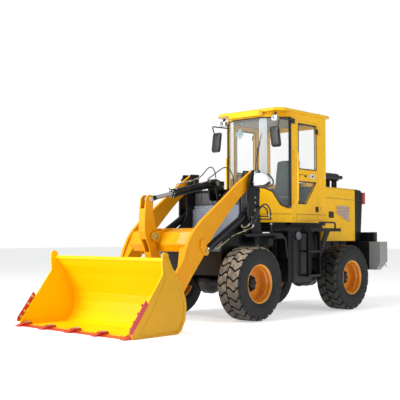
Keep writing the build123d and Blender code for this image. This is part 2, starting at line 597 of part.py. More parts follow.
with BuildPart() as tilt_link:
    cross_round(CRANK_LOW, 50, -35, 35)
    cross_round(LINK_BUCKET, 38, -35, 35)
    a, b = CRANK_LOW, LINK_BUCKET
    n = math.hypot(b[0] - a[0], b[1] - a[1])
    ux, uz = (b[0] - a[0]) / n, (b[1] - a[1]) / n
    side_plate([(a[0] - uz * 34, a[1] + ux * 34), (b[0] - uz * 26, b[1] + ux * 26), (b[0] + uz * 26, b[1] - ux * 26), (a[0] + uz * 34, a[1] - ux * 34)], 0, 56)
    cross_round(CRANK_LOW, 25.1, -50, 50, mode=Mode.SUBTRACT)
    cross_round(LINK_BUCKET, 20, -50, 50, mode=Mode.SUBTRACT)
write(tilt_link, "tilt_link")

# ---------------------------------------------------------------- bucket
BUCKET_BACK = [
    (5060, 0), (4335, 0), (4262, 45), (4200, 160), (4175, 317), (4192, 440), (4240, 546), (4330, 712),
    (4430, 828), (4500, 930),
]
BUCKET_SIDE = [
    (5060, 0), (4335, 0), (4262, 45), (4200, 160), (4175, 317), (4192, 440), (4240, 546), (4330, 712),
    (4430, 828), (4508, 977), (4578, 991), (4612, 906), (4598, 747), (5118, 62), (5095, 0),
]
with BuildPart() as bucket:
    inner = inset_path(BUCKET_BACK, -18)
    side_plate(BUCKET_BACK + inner[::-1], 0, 2 * (BUCKET_HALF - 20) + 2)
    for s in (1, -1):
        side_plate(BUCKET_SIDE, s * (BUCKET_HALF - 10), 20)
    # stiffening tube along the top edge
    cross_round((4512, 925), 27, -(BUCKET_HALF - 20), BUCKET_HALF - 20)
    # hinge ears either side of each arm tip, with the pin through
    for s in (1, -1):
        for e in (1, -1):
            side_plate([(3985, 335), (3975, 270), (4020, 220), (4090, 210), (4215, 150), (4185, 440), (4110, 400), (4040, 372)], s * ARM_Y + e * 38.5, 20)
        cross_round(BUCKET_PIN, 30, s * ARM_Y - 62, s * ARM_Y + 62)
        # ears for the link
        side_plate([(4050, 532), (4028, 500), (4030, 455), (4060, 420), (4150, 300), (4187, 330), (4200, 437), (4247, 542), (4262, 572), (4200, 560), (4100, 536)], s * 50, 20)
        cross_round(LINK_BUCKET, 26, min(s * 60, s * 72), max(s * 60, s * 72))
write(bucket, "bucket")

with BuildPart() as cutting_edges:
    for tooth_y in (-1060, -530, 0, 530, 1060):
        side_plate([(4975, 18), (5064, 18), (5064, 0), (TEETH_FRONT, 4), (TEETH_FRONT, 14), (5090, 52), (4990, 52)], tooth_y, 84)
    for seg_y in (-795, -265, 265, 795):
        side_plate([(5061, 0), (5061, 22), (5140, 12), (5146, 2)], seg_y, 430)
    for s in (1, -1):
        side_plate([(5000, 205), (5118, 62), (5160, 70), (5150, 120), (4890, 455), (4850, 400)], s * (BUCKET_HALF + 6), 12)
write(cutting_edges, "cutting_edges")

# ---------------------------------------------------------------- lift cylinders
with BuildPart() as lift_barrels:
    for s in (1, -1):
        y = s * ARM_Y
        n = math.hypot(LIFT_FRONT[0] - LIFT_REAR[0], LIFT_FRONT[1] - LIFT_REAR[1])
        cross_round(LIFT_REAR, 58, y - 48, y + 48)
        g0, g1, g2 = along(LIFT_REAR, LIFT_FRONT, 40), along(LIFT_REAR, LIFT_FRONT, n - 150), along(LIFT_REAR, LIFT_FRONT, n - 105)
        bar((g0[0], y, g0[1]), (g1[0], y, g1[1]), 56)
        bar((g1[0], y, g1[1]), (g2[0], y, g2[1]), 60)
        b0, b1 = along(LIFT_REAR, LIFT_FRONT, 90), along(LIFT_REAR, LIFT_FRONT, n - 90)
        cross_round(LIFT_REAR, 30.1, y - 70, y + 70, mode=Mode.SUBTRACT)
        bar((b0[0], y, b0[1]), (b1[0], y, b1[1]), 30.2, mode=Mode.SUBTRACT)
write(lift_barrels, "lift_barrels")
with BuildPart() as lift_rods:
    for s in (1, -1):
        y = s * ARM_Y
        cross_round(LIFT_FRONT, 46, y - 19, y + 19)
        r0, r1 = along(LIFT_REAR, LIFT_FRONT, 120), along(LIFT_REAR, LIFT_FRONT, n - 20)
        bar((r0[0], y, r0[1]), (along(LIFT_REAR, LIFT_FRONT, n - 60)[0], y, along(LIFT_REAR, LIFT_FRONT, n - 60)[1]), 30)
        e0 = along(LIFT_REAR, LIFT_FRONT, n - 62)
        bar((e0[0], y, e0[1]), (r1[0], y, r1[1]), 16)
        cross_round(LIFT_FRONT, 24, y - 30, y + 30, mode=Mode.SUBTRACT)
write(lift_rods, "lift_rods")

# ---------------------------------------------------------------- tilt cylinder
n = math.hypot(CRANK_TOP[0] - TILT_REAR[0], CRANK_TOP[1] - TILT_REAR[1])


def tilt_point(d, y=0.0):
    p = along(TILT_REAR, CRANK_TOP, d)
    return (p[0], y, p[1])


TILT_GLAND = 915.0
with BuildPart() as tilt_trunnion:
    cross_round(TILT_REAR, 42, -62, -44)
    cross_round(TILT_REAR, 42, 44, 62)
    cross_round(TILT_REAR, 42, -62, 62)
    cross_round(TILT_REAR, 30.1, -80, 80, mode=Mode.SUBTRACT)
write(tilt_trunnion, "tilt_trunnion")
with BuildPart() as tilt_barrel:
    cross_round(TILT_REAR, 66, -56, 56)
    bar(tilt_point(50), tilt_point(TILT_GLAND - 60), 58)
    bar(tilt_point(TILT_GLAND - 60), tilt_point(TILT_GLAND), 64)
    cross_round(TILT_REAR, 42.1, -80, 80, mode=Mode.SUBTRACT)
    bar(tilt_point(85), tilt_point(TILT_GLAND - 30), 46, mode=Mode.SUBTRACT)
    bar(tilt_point(TILT_GLAND - 40), tilt_point(TILT_GLAND + 10), 30.2, mode=Mode.SUBTRACT)
write(tilt_barrel, "tilt_barrel")
with BuildPart() as tilt_piston:
    bar(tilt_point(500), tilt_point(540), 45.8)
    bar(tilt_point(495), tilt_point(545), 30.2, mode=Mode.SUBTRACT)
write(tilt_piston, "tilt_piston")
with BuildPart() as tilt_rod:
    cross_round(CRANK_TOP, 52, -35, 35)
    bar(tilt_point(400), tilt_point(n - 40), 30)
    cross_round(CRANK_TOP, 25, -60, 60, mode=Mode.SUBTRACT)
write(tilt_rod, "tilt_rod")

# ---------------------------------------------------------------- steering cylinders
for name, s in [("left", 1), ("right", -1)]:
    rear_eye, front_eye = (700.0, s * 460.0, 680.0), (1500.0, s * 290.0, 680.0)
    n = math.hypot(front_eye[0] - rear_eye[0], front_eye[1] - rear_eye[1])

    def steer_point(d):
        return (rear_eye[0] + (front_eye[0] - rear_eye[0]) * d / n, rear_eye[1] + (front_eye[1] - rear_eye[1]) * d / n, 680.0)

    with BuildPart() as barrel:
        with Locations((fx(rear_eye[0]), rear_eye[1], 680)):
            Cylinder(38, 60)
        bar(steer_point(25), steer_point(500), 32)
        bar(steer_point(45), steer_point(510), 18.1, mode=Mode.SUBTRACT)
    write(barrel, f"steer_barrel_{name}")
    with BuildPart() as rod:
        with Locations((fx(front_eye[0]), front_eye[1], 680)):
            Cylinder(36, 60)
        bar(steer_point(300), steer_point(n - 20), 18)
        with Locations((fx(front_eye[0]), front_eye[1], 680)):
            Cylinder(18, 80, mode=Mode.SUBTRACT)
    write(rod, f"steer_rod_{name}")

# ---------------------------------------------------------------- hoses
# columns: X ahead of the rear axle, Y, Z
TILT_HOSE = [(2690, -45, 2095), (2600, -45, 2140), (2480, -45, 2262), (2390, -45, 2292), (2318, -45, 2240), (2290, -45, 2160), (2292, -45, 2085)]
TOWER_HOSE = [
    (2630, 92, 2080), (2540, 92, 2125), (2370, 92, 2225), (2240, 92, 2290), (2130, 92, 2265), (2055, 92, 2190),
    (2022, 92, 2095), (2020, 92, 1995), (2045, 92, 1905), (2115, 92, 1852), (2203, 92, 1846),
]
LIFT_HOSE_OUTER = [
    (2368, 740, 1352), (2310, 748, 1445), (2255, 750, 1555), (2190, 750, 1645), (2115, 750, 1700), (2025, 749, 1700),
    (1955, 745, 1640), (1920, 740, 1555), (1912, 735, 1500),
]
LIFT_HOSE_INNER = [
    (2450, 728, 1375), (2385, 728, 1430), (2325, 728, 1512), (2262, 728, 1590), (2195, 728, 1655), (2118, 728, 1672),
    (2040, 728, 1650), (1985, 726, 1595), (1968, 722, 1530),
]
with BuildPart() as tilt_hose:
    hose(TILT_HOSE, 8, "tilt hose")
write(tilt_hose, "tilt_hose")
with BuildPart() as tower_hose:
    hose(TOWER_HOSE, 8, "tower hose")
write(tower_hose, "tower_hose")
with BuildPart() as lift_hoses:
    for s in (1, -1):
        hose([(a, s * b, c) for a, b, c in LIFT_HOSE_OUTER], 11, "lift hose outer")
        hose([(a, s * b, c) for a, b, c in LIFT_HOSE_INNER], 11, "lift hose inner")
write(lift_hoses, "lift_hoses")
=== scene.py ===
import bpy, bmesh, json, math, random
from mathutils import Vector, Matrix, Euler


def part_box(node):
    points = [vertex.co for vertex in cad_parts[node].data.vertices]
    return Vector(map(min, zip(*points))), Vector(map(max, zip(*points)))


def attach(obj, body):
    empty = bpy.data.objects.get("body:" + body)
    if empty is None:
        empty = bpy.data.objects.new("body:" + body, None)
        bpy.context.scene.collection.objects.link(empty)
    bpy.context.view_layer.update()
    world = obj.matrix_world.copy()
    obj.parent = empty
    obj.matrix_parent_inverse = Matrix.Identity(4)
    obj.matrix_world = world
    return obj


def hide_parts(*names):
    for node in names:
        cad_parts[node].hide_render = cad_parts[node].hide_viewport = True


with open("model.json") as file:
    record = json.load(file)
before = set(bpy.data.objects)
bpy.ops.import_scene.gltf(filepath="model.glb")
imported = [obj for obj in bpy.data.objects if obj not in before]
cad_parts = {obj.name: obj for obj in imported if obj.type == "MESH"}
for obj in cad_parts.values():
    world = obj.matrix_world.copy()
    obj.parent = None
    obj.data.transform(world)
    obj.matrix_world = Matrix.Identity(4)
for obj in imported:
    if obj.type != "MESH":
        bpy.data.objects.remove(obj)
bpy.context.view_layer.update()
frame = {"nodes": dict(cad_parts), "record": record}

nodes = frame["nodes"]
random.seed(7)

# ------------------------------------------------------------------ camera
cam_data = bpy.data.cameras.new("camera")
cam = bpy.data.objects.new("camera", cam_data)
bpy.context.scene.collection.objects.link(cam)
cam_data.sensor_fit = "HORIZONTAL"
cam_data.sensor_width = 36.0
cam_data.lens = 70.99
cam_data.clip_start, cam_data.clip_end = 0.1, 200.0
YAW, PITCH = math.radians(-137.543), math.radians(2.626)
cam.location = (9.441, 7.998, 1.222)
look = Vector((math.cos(PITCH) * math.cos(YAW), math.cos(PITCH) * math.sin(YAW), math.sin(PITCH)))
cam.rotation_euler = look.to_track_quat("-Z", "Y").to_euler()
bpy.context.scene.camera = cam
bpy.context.scene.view_settings.view_transform = "Standard"


# ------------------------------------------------------------------ materials
class Mat:
    """A node material with a few shorthand helpers."""

    def __init__(self, name, color, rough=0.5, metal=0.0, coat=0.0, coat_rough=0.03, spec=0.5, sheen=0.0, alpha=1.0, ior=1.5, trans=0.0):
        self.m = bpy.data.materials.new(name)
        self.m.use_nodes = True
        self.t = self.m.node_tree
        self.n = self.t.nodes
        self.l = self.t.links
        self.p = self.n["Principled BSDF"]
        i = self.p.inputs
        i["Base Color"].default_value = (*color, 1)
        i["Roughness"].default_value = rough
        i["Metallic"].default_value = metal
        i["Coat Weight"].default_value = coat
        i["Coat Roughness"].default_value = coat_rough
        i["Specular IOR Level"].default_value = spec
        i["Sheen Weight"].default_value = sheen
        i["Alpha"].default_value = alpha
        i["IOR"].default_value = ior
        i["Transmission Weight"].default_value = trans
        self.co = self.n.new("ShaderNodeTexCoord")
        self.last_bump = None
        self.color = color

    def noise(self, scale, detail=4, rough=0.5, stretch=None):
        t = self.n.new("ShaderNodeTexNoise")
        t.inputs["Scale"].default_value = scale
        t.inputs["Detail"].default_value = detail
        t.inputs["Roughness"].default_value = rough
        if stretch:
            mp = self.n.new("ShaderNodeMapping")
            mp.inputs["Scale"].default_value = stretch
            self.l.new(self.co.outputs["Object"], mp.inputs["Vector"])
            self.l.new(mp.outputs[0], t.inputs["Vector"])
        else:
            self.l.new(self.co.outputs["Object"], t.inputs["Vector"])
        return t.outputs["Fac"]

    def voronoi(self, scale, feature="F1"):
        t = self.n.new("ShaderNodeTexVoronoi")
        t.feature = feature
        t.inputs["Scale"].default_value = scale
        self.l.new(self.co.outputs["Object"], t.inputs["Vector"])
        return t.outputs["Distance"]

    def ramp(self, src, stops):
        r = self.n.new("ShaderNodeValToRGB")
        el = r.color_ramp.elements
        while len(el) < len(stops):
            el.new(0.5)
        for e, (pos, col) in zip(el, stops):
            e.position = pos
            e.color = (*col, 1) if len(col) == 3 else col
        self.l.new(src, r.inputs["Fac"])
        return r.outputs["Color"]

    def mix(self, fac, a, b, mode="MIX"):
        x = self.n.new("ShaderNodeMix")
        x.data_type = "RGBA"
        x.blend_type = mode
        for sock, v in (("Factor", fac), ("A", a), ("B", b)):
            s = [q for q in x.inputs if q.name == sock and (sock == "Factor" or q.type == "RGBA")][0]
            if isinstance(v, (int, float)):
                s.default_value = v
            elif isinstance(v, tuple):
                s.default_value = (*v, 1) if len(v) == 3 else v
            else:
                self.l.new(v, s)
        return [o for o in x.outputs if o.type == "RGBA"][0]

    def base(self, sock):
        self.l.new(sock, self.p.inputs["Base Color"])
        return self

    def rough_from(self, src, lo, hi):
        mr = self.n.new("ShaderNodeMapRange")
        mr.inputs["To Min"].default_value = lo
        mr.inputs["To Max"].default_value = hi
        self.l.new(src, mr.inputs["Value"])
        self.l.new(mr.outputs[0], self.p.inputs["Roughness"])
        return self

    def bump(self, src, strength=0.2, distance=0.001):
        b = self.n.new("ShaderNodeBump")
        b.inputs["Strength"].default_value = strength
        b.inputs["Distance"].default_value = distance
        self.l.new(src, b.inputs["Height"])
        if self.last_bump:
            self.l.new(self.last_bump, b.inputs["Normal"])
        self.last_bump = b.outputs["Normal"]
        self.l.new(self.last_bump, self.p.inputs["Normal"])
        return self

    def edges(self, radius=0.004):
        """Rounded-looking edges."""
        b = self.n.new("ShaderNodeBevel")
        b.samples = 4
        b.inputs["Radius"].default_value = radius
        self.last_bump = b.outputs["Normal"]
        self.l.new(self.last_bump, self.p.inputs["Normal"])
        return self

    def edge_mask(self, radius=0.004, lo=0.02, hi=0.25):
        """1 along sharp edges, 0 elsewhere."""
        b = self.n.new("ShaderNodeBevel")
        b.samples = 4
        b.inputs["Radius"].default_value = radius
        g = self.n.new("ShaderNodeNewGeometry")
        d = self.n.new("ShaderNodeVectorMath")
        d.operation = "DISTANCE"
        self.l.new(b.outputs["Normal"], d.inputs[0])
        self.l.new(g.outputs["Normal"], d.inputs[1])
        mr = self.n.new("ShaderNodeMapRange")
        mr.inputs["From Min"].default_value = lo
        mr.inputs["From Max"].default_value = hi
        self.l.new(d.outputs["Value"], mr.inputs["Value"])
        return mr.outputs[0]

    def axis(self, which):
        s = self.n.new("ShaderNodeSeparateXYZ")
        self.l.new(self.co.outputs["Object"], s.inputs[0])
        return s.outputs[which]

    def range(self, src, a, b, lo=0.0, hi=1.0):
        mr = self.n.new("ShaderNodeMapRange")
        mr.inputs["From Min"].default_value = a
        mr.inputs["From Max"].default_value = b
        mr.inputs["To Min"].default_value = lo
        mr.inputs["To Max"].default_value = hi
        self.l.new(src, mr.inputs["Value"])
        return mr.outputs[0]


def paint(name, color, deep, light, coat=0.6, rough=0.32, edge_wear_and_highlight=None, peel=0.05, edge=0.004, spec=0.5):
    """Sprayed machine paint: slight colour drift, orange peel, edges painted lighter as rubbed wear and a painted
    highlight.
    """
    m = Mat(name, color, rough=rough, coat=coat, coat_rough=0.06, spec=spec)
    big = m.noise(2.3, 5, 0.6)
    c = m.mix(m.range(big, 0.35, 0.65), deep, color)
    fine = m.noise(38, 6, 0.65)
    c = m.mix(m.range(fine, 0.62, 0.78, 0.0, 0.10), c, light)
    # sharp edges painted lighter: rubbed wear and a painted highlight
    c = m.mix(m.edge_mask(edge), c, edge_wear_and_highlight or light)
    m.base(c)
    m.rough_from(m.noise(9, 5, 0.6), rough - 0.07, rough + 0.1)
    m.edges(edge)
    m.bump(m.noise(520, 3, 0.5), peel, 0.0006)
    m.bump(m.noise(7, 3, 0.5), 0.05, 0.004)
    return m.m


M = {}
M["yellow"] = paint("yellow_paint", (0.76, 0.325, 0.0), (0.70, 0.285, 0.0), (0.88, 0.48, 0.015), coat=0.06, rough=0.34, spec=0.22)
M["cab_yellow"] = paint("yellow_cab", (0.90, 0.50, 0.008), (0.84, 0.445, 0.005), (0.95, 0.64, 0.08), coat=0.16, rough=0.26, spec=0.30)
M["grey"] = paint("grey_paint", (0.055, 0.060, 0.068), (0.045, 0.049, 0.056), (0.13, 0.14, 0.155), coat=0.5, rough=0.33)
M["black"] = paint("black_paint", (0.0035, 0.0038, 0.0048), (0.0025, 0.0028, 0.0035), (0.012, 0.013, 0.016), coat=0.12, rough=0.30, edge_wear_and_highlight=(0.020, 0.021, 0.025), spec=0.28)
M["weight"] = paint("grey_weight", (0.085, 0.088, 0.094), (0.060, 0.063, 0.068), (0.20, 0.21, 0.22), coat=0.35, rough=0.42, peel=0.12)
M["panel"] = paint("grey_sheet", (0.17, 0.20, 0.25), (0.13, 0.155, 0.20), (0.32, 0.36, 0.42), coat=0.5, rough=0.34)
# painted reflection: blue-grey sheen colour for the towers' inner faces
M["plate_blue"] = paint("grey_blue_plate", (0.22, 0.24, 0.28), (0.14, 0.155, 0.185), (0.45, 0.48, 0.54), coat=0.7, rough=0.25)
M["red"] = paint("red_paint", (0.50, 0.012, 0.010), (0.42, 0.008, 0.006), (0.72, 0.10, 0.06), coat=0.4, rough=0.38, edge_wear_and_highlight=(0.55, 0.2, 0.14))
M["orange"] = paint("orange_paint", (0.70, 0.235, 0.008), (0.60, 0.18, 0.005), (0.82, 0.34, 0.03), coat=0.6, rough=0.30)
# painted highlight: a lighter copy of the rim orange, for the rolled flanges
M["orange_light"] = paint("orange_flange", (0.80, 0.34, 0.02), (0.72, 0.28, 0.012), (0.90, 0.46, 0.06), coat=0.7, rough=0.24)


def plastic(name, color, rough=0.45, grain=900, edge=0.003):
    m = Mat(name, color, rough=rough, spec=0.45)
    v = m.voronoi(grain)
    m.base(m.mix(m.range(m.noise(14, 5), 0.3, 0.7), tuple(c * 0.8 for c in color), tuple(min(1, c * 1.25) for c in color)))
    m.rough_from(m.noise(30, 4), rough - 0.06, rough + 0.1)
    m.edges(edge)
    m.bump(v, 0.12, 0.0006)
    return m.m


M["vent_sheet"] = paint("vent_amber", (0.34, 0.13, 0.010), (0.26, 0.09, 0.006), (0.42, 0.20, 0.03), coat=0.2, rough=0.45)


def two_tone_and_shade(name, color, dark, which, edge_at, above, rough=0.3, coat=0.35, inner=None, ahead=None):
    """Machine paint in two colours, changing at a place along one axis; an optional zone inside a |Y| (and ahead of an
    X) takes the second colour too, for painted light and shade.
    """
    m = Mat(name, color, rough=rough, coat=coat, coat_rough=0.06, spec=0.25)
    a = m.mix(m.range(m.noise(2.3, 5, 0.6), 0.35, 0.65), tuple(q * 0.92 for q in color), color)
    a = m.mix(m.range(m.noise(38, 6, 0.65), 0.62, 0.78, 0.0, 0.10), a, tuple(min(1, q * 1.15 + 0.02) for q in color))
    mask = m.range(m.axis(which), edge_at - 0.001, edge_at + 0.001) if above else m.range(m.axis(which), edge_at - 0.001, edge_at + 0.001, 1.0, 0.0)
    out = m.mix(mask, a, dark)
    # painted light and shade: the zone inside |Y| (and ahead of X) takes the second colour
    if inner:
        y = m.n.new("ShaderNodeMath")
        y.operation = "ABSOLUTE"
        m.l.new(m.axis(1), y.inputs[0])
        where = m.range(y.outputs[0], inner - 0.002, inner, 1.0, 0.0)
        if ahead is not None:
            both_ = m.n.new("ShaderNodeMath")
            both_.operation = "MULTIPLY"
            m.l.new(where, both_.inputs[0])
            m.l.new(m.range(m.axis(0), ahead - 0.002, ahead), both_.inputs[1])
            where = both_.outputs[0]
        out = m.mix(where, out, dark)
    m.base(out)
    m.rough_from(m.noise(9, 5, 0.6), rough - 0.07, rough + 0.1)
    m.edges(0.004)
    m.bump(m.noise(520, 3, 0.5), 0.05, 0.0006)
    return m.m


# painted shade: the bucket's outer side faces keep the darker amber and all faces inside |Y| 1.12 get the bright
# yellow, as lit and shaded copies of one paint
M["bucket_yellow"] = two_tone_and_shade("bucket_paint", (0.62, 0.31, 0.0), (0.93, 0.52, 0.0), 2, 90.0, True, 0.32, 0.06, 1.1215)
M["hood_paint"] = two_tone_and_shade("hood_paint", (0.88, 0.49, 0.008), (0.006, 0.0065, 0.0075), 0, -2.784 - nodes["hood"].matrix_world.translation.x, False, 0.26, 0.16)
# black above Z 1.127; painted shadow: the front face inside |Y| 0.74 is painted black as well
M["weight"] = two_tone_and_shade("weight_paint", (0.27, 0.275, 0.285), (0.008, 0.0085, 0.0095), 2, 1.127 - nodes["counterweight"].matrix_world.translation.z, True, 0.42, 0.2, 0.74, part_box("counterweight")[1].x - 0.03 - nodes["counterweight"].matrix_world.translation.x)


M["plastic"] = plastic("black_plastic", (0.012, 0.012, 0.014), 0.38)
M["plastic_grey"] = plastic("grey_plastic", (0.10, 0.105, 0.115), 0.5)
M["lining"] = plastic("cab_lining", (0.30, 0.29, 0.25), 0.75, 260)
M["dark_lining"] = plastic("dark_lining", (0.03, 0.03, 0.034), 0.7, 420)


def metal(name, color, rough=0.25, streak=None, metallic=1.0, grime=0.3):
    m = Mat(name, color, rough=rough, metal=metallic)
    n = m.noise(60, 5, 0.6, streak)
    m.base(m.mix(m.range(n, 0.4, 0.75, 0, grime), color, tuple(c * 0.45 for c in color)))
    m.rough_from(m.noise(110, 4, 0.6, streak), rough - 0.08, rough + 0.14)
    m.edges(0.0015)
    m.bump(m.noise(400, 2, 0.5, streak), 0.06, 0.0004)
    return m.m


M["chrome"] = metal("rod_chrome", (0.78, 0.79, 0.80), 0.12, grime=0.1)
M["zinc"] = metal("zinc_plate", (0.66, 0.66, 0.63), 0.30)
M["steel"] = metal("bolt_steel", (0.52, 0.53, 0.54), 0.30)
M["brass"] = metal("brass_zinc", (0.62, 0.54, 0.28), 0.30)
M["olive"] = metal("olive_zinc", (0.42, 0.44, 0.22), 0.34)
M["iron"] = metal("engine_iron", (0.07, 0.07, 0.075), 0.55, metallic=0.35)
M["mirror_face"] = metal("mirror_face", (0.80, 0.82, 0.84), 0.06, grime=0.05)
M["black_fitting"] = metal("black_fitting", (0.035, 0.036, 0.04), 0.33, metallic=0.6)

# rubber hose: fine cloth-wrapped jacket
m = Mat("hose_rubber", (0.012, 0.012, 0.013), rough=0.42)
m.base(m.mix(m.range(m.noise(25, 4), 0.3, 0.7), (0.009, 0.009, 0.010), (0.022, 0.022, 0.024)))
m.bump(m.noise(900, 2, 0.5), 0.15, 0.0004)
M["hose"] = m.m

# tyre carcass: moulded rings on the side, dust in patches
m = Mat("tyre_rubber", (0.012, 0.012, 0.013), rough=0.55, spec=0.35)
c = m.mix(m.range(m.noise(6, 6, 0.65), 0.35, 0.75), (0.004, 0.004, 0.0045), (0.011, 0.011, 0.011))
m.base(m.mix(m.range(m.noise(70, 5, 0.7), 0.55, 0.8, 0, 0.25), c, (0.034, 0.031, 0.027)))
m.rough_from(m.noise(22, 4), 0.5, 0.72)
m.bump(m.noise(260, 5, 0.6), 0.22, 0.0008)
M["tyre"] = m.m
# painted shade: a darker copy of the tread colour for the rear tyres
m = Mat("tyre_tread_rear", (0.03, 0.028, 0.025), rough=0.65, spec=0.35)
c = m.mix(m.range(m.noise(11, 6, 0.7), 0.32, 0.62), (0.010, 0.010, 0.010), (0.040, 0.036, 0.031))
m.base(m.mix(m.range(m.noise(48, 6, 0.75), 0.58, 0.76, 0, 0.6), c, (0.085, 0.072, 0.058)))
m.rough_from(m.noise(30, 4), 0.5, 0.8)
m.bump(m.noise(150, 6, 0.7), 0.35, 0.001)
M["tread_rear"] = m.m
# tread faces: scuffed, pale dust ground into the rubber; painted highlight and shade make them lighter towards the top
# of the wheel and darker at the bottom
m = Mat("tyre_tread", (0.10, 0.085, 0.068), rough=0.7, spec=0.35)
c = m.mix(m.range(m.noise(11, 6, 0.7), 0.32, 0.62), (0.060, 0.053, 0.045), (0.46, 0.38, 0.29))
c = m.mix(m.range(m.noise(48, 6, 0.75), 0.50, 0.70, 0, 0.75), c, (0.05, 0.045, 0.04))
m.base(m.mix(m.range(m.noise(23, 4, 0.6), 0.58, 0.70, 0, 0.7), c, (0.62, 0.50, 0.38)))
dust_and_highlight = m.p.inputs["Base Color"].links[0].from_socket
# painted shade and highlight: darker towards the bottom of the wheel, the pale dust colour towards the top
m.base(m.mix(m.range(m.axis(2), -0.30, 0.36), (0.055, 0.048, 0.040), dust_and_highlight))
m.rough_from(m.noise(30, 4), 0.5, 0.8)
m.bump(m.noise(150, 6, 0.7), 0.35, 0.001)
M["tread"] = m.m


def glass(name, tint, alpha, rough=0.02):
    m = Mat(name, tint, rough=rough, alpha=alpha, spec=0.6)
    m.base(m.mix(m.range(m.noise(1.7, 3), 0.3, 0.7), tuple(c * 0.93 for c in tint), tint))
    m.bump(m.noise(1.2, 2), 0.015, 0.01)
    m.m.surface_render_method = "BLENDED"
    return m.m


M["glass"] = glass("cab_glass", (0.80, 0.90, 0.90), 0.06)
M["glass_edge"] = glass("glass_corner", (0.62, 0.72, 0.76), 0.62, 0.05)
m = Mat("lamp_film", (0.86, 0.87, 0.88), rough=0.22, alpha=1.0, coat=0.5)
m.base(m.mix(m.range(m.noise(26, 5, 0.7), 0.4, 0.7), (0.52, 0.53, 0.57), (0.78, 0.79, 0.82)))
m.bump(m.noise(30, 4, 0.7), 0.35, 0.003)
m.bump(m.voronoi(90), 0.08, 0.001)
M["lamp"] = m.m
m = Mat("tail_lens", (0.55, 0.02, 0.015), rough=0.12, coat=0.8)
m.base(m.mix(m.voronoi(70), (0.62, 0.03, 0.02), (0.30, 0.008, 0.008)))
m.bump(m.voronoi(70), 0.5, 0.003)
M["tail"] = m.m
m = Mat("amber_lens", (0.75, 0.25, 0.02), rough=0.14, coat=0.8)
m.base(m.mix(m.voronoi(80), (0.85, 0.30, 0.02), (0.5, 0.12, 0.01)))
m.bump(m.voronoi(80), 0.5, 0.003)
M["amber"] = m.m
m = Mat("fan_plastic", (0.42, 0.60, 0.64), rough=0.25, spec=0.5)
m.base(m.mix(m.range(m.noise(9, 3), 0.3, 0.7), (0.34, 0.52, 0.57), (0.52, 0.68, 0.71)))
m.bump(m.noise(60, 2), 0.05, 0.001)
M["fan"] = m.m


def fabric(name, a, b, scale=900, sheen=0.35):
    """Woven cloth with a fleck, needs no UVs."""
    m = Mat(name, a, rough=0.85, sheen=sheen, spec=0.25)
    wx = m.n.new("ShaderNodeTexWave"); wx.inputs["Scale"].default_value = scale / 6.0; wx.bands_direction = "X"
    wz = m.n.new("ShaderNodeTexWave"); wz.inputs["Scale"].default_value = scale / 6.0; wz.bands_direction = "Z"
    wy = m.n.new("ShaderNodeTexWave"); wy.inputs["Scale"].default_value = scale / 6.0; wy.bands_direction = "Y"
    for w in (wx, wz, wy):
        m.l.new(m.co.outputs["Object"], w.inputs["Vector"])
    h = m.mix(0.5, m.mix(0.5, wx.outputs["Color"], wz.outputs["Color"], "MULTIPLY"), wy.outputs["Color"], "MULTIPLY")
    c = m.mix(m.range(m.noise(34, 6, 0.75), 0.45, 0.62), a, b)
    c = m.mix(m.range(m.noise(210, 4, 0.8), 0.55, 0.7, 0, 0.5), c, tuple(min(1, x * 2.6) for x in b))
    m.base(m.mix(0.35, c, h, "MULTIPLY"))
    m.bump(h, 0.4, 0.0008)
    m.bump(m.noise(60, 4), 0.15, 0.002)
    return m.m


M["cloth"] = fabric("seat_cloth", (0.010, 0.017, 0.020), (0.035, 0.070, 0.075))
m = Mat("seat_vinyl", (0.016, 0.017, 0.019), rough=0.5, spec=0.4, sheen=0.1)
m.base(m.mix(m.range(m.noise(18, 5), 0.3, 0.7), (0.012, 0.013, 0.015), (0.03, 0.031, 0.034)))
m.bump(m.voronoi(420), 0.3, 0.0006)
M["vinyl"] = m.m

CAD_MATERIAL = {
    "bucket": "bucket_yellow", "boom": "yellow", "bellcrank": "yellow", "tilt_link": "yellow",
    "hood": "hood_paint", "cab_shell": "cab_yellow", "cab_roof": "cab_yellow", "cab_base": "black",
    "door_left": "cab_yellow", "door_right": "cab_yellow", "grab_rails": "cab_yellow",
    "front_cover": "panel", "front_chassis": "black", "rear_chassis": "black", "platforms": "black",
    "platform_rails": "black", "ladders": "black", "side_tanks": "black", "front_fenders": "black",
    "counterweight": "weight", "rear_grille": "black", "hood_vents": "plastic", "air_cleaner": "plastic",
    "front_axle": "black", "rear_axle": "black", "engine_block": "iron", "cutting_edges": "red",
    "cab_windows": "glass", "door_glass_left": "glass", "door_glass_right": "glass",
    "cab_lamps": "plastic_grey", "headlights": "lamp", "tail_lamps": "tail", "mirrors": "plastic",
    "dashboard": "dark_lining", "steering_wheel": "plastic", "seat_base": "dark_lining",
    "lift_barrels": "black", "lift_rods": "chrome", "tilt_barrel": "black", "tilt_rod": "chrome",
    "tilt_piston": "steel", "tilt_trunnion": "steel", "steer_barrel_left": "black", "steer_barrel_right": "black",
    "steer_rod_left": "chrome", "steer_rod_right": "chrome",
}
for rim in ("rim_rear_left", "rim_rear_right", "rim_front_left", "rim_front_right"):
    CAD_MATERIAL[rim] = "orange"
for name, key in CAD_MATERIAL.items():
    data = nodes[name].data
    data.materials.clear()
    data.materials.append(M[key])


# ------------------------------------------------------------------ mesh helpers
def link(obj):
    bpy.context.scene.collection.objects.link(obj)
    return obj


def mesh_piece(name, bm, mats, body, smooth=True, slot=None, angle=35):
    me = bpy.data.meshes.new(name)
    bmesh.ops.recalc_face_normals(bm, faces=bm.faces)
    bm.to_mesh(me)
    bm.free()
    for x in mats if isinstance(mats, (list, tuple)) else [mats]:
        me.materials.append(M[x])
    o = link(bpy.data.objects.new(name, me))
    for p in me.polygons:
        p.use_smooth = smooth
    if smooth:
        me.set_sharp_from_angle(angle=math.radians(angle))
    if body:
        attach(o, body)
    return o


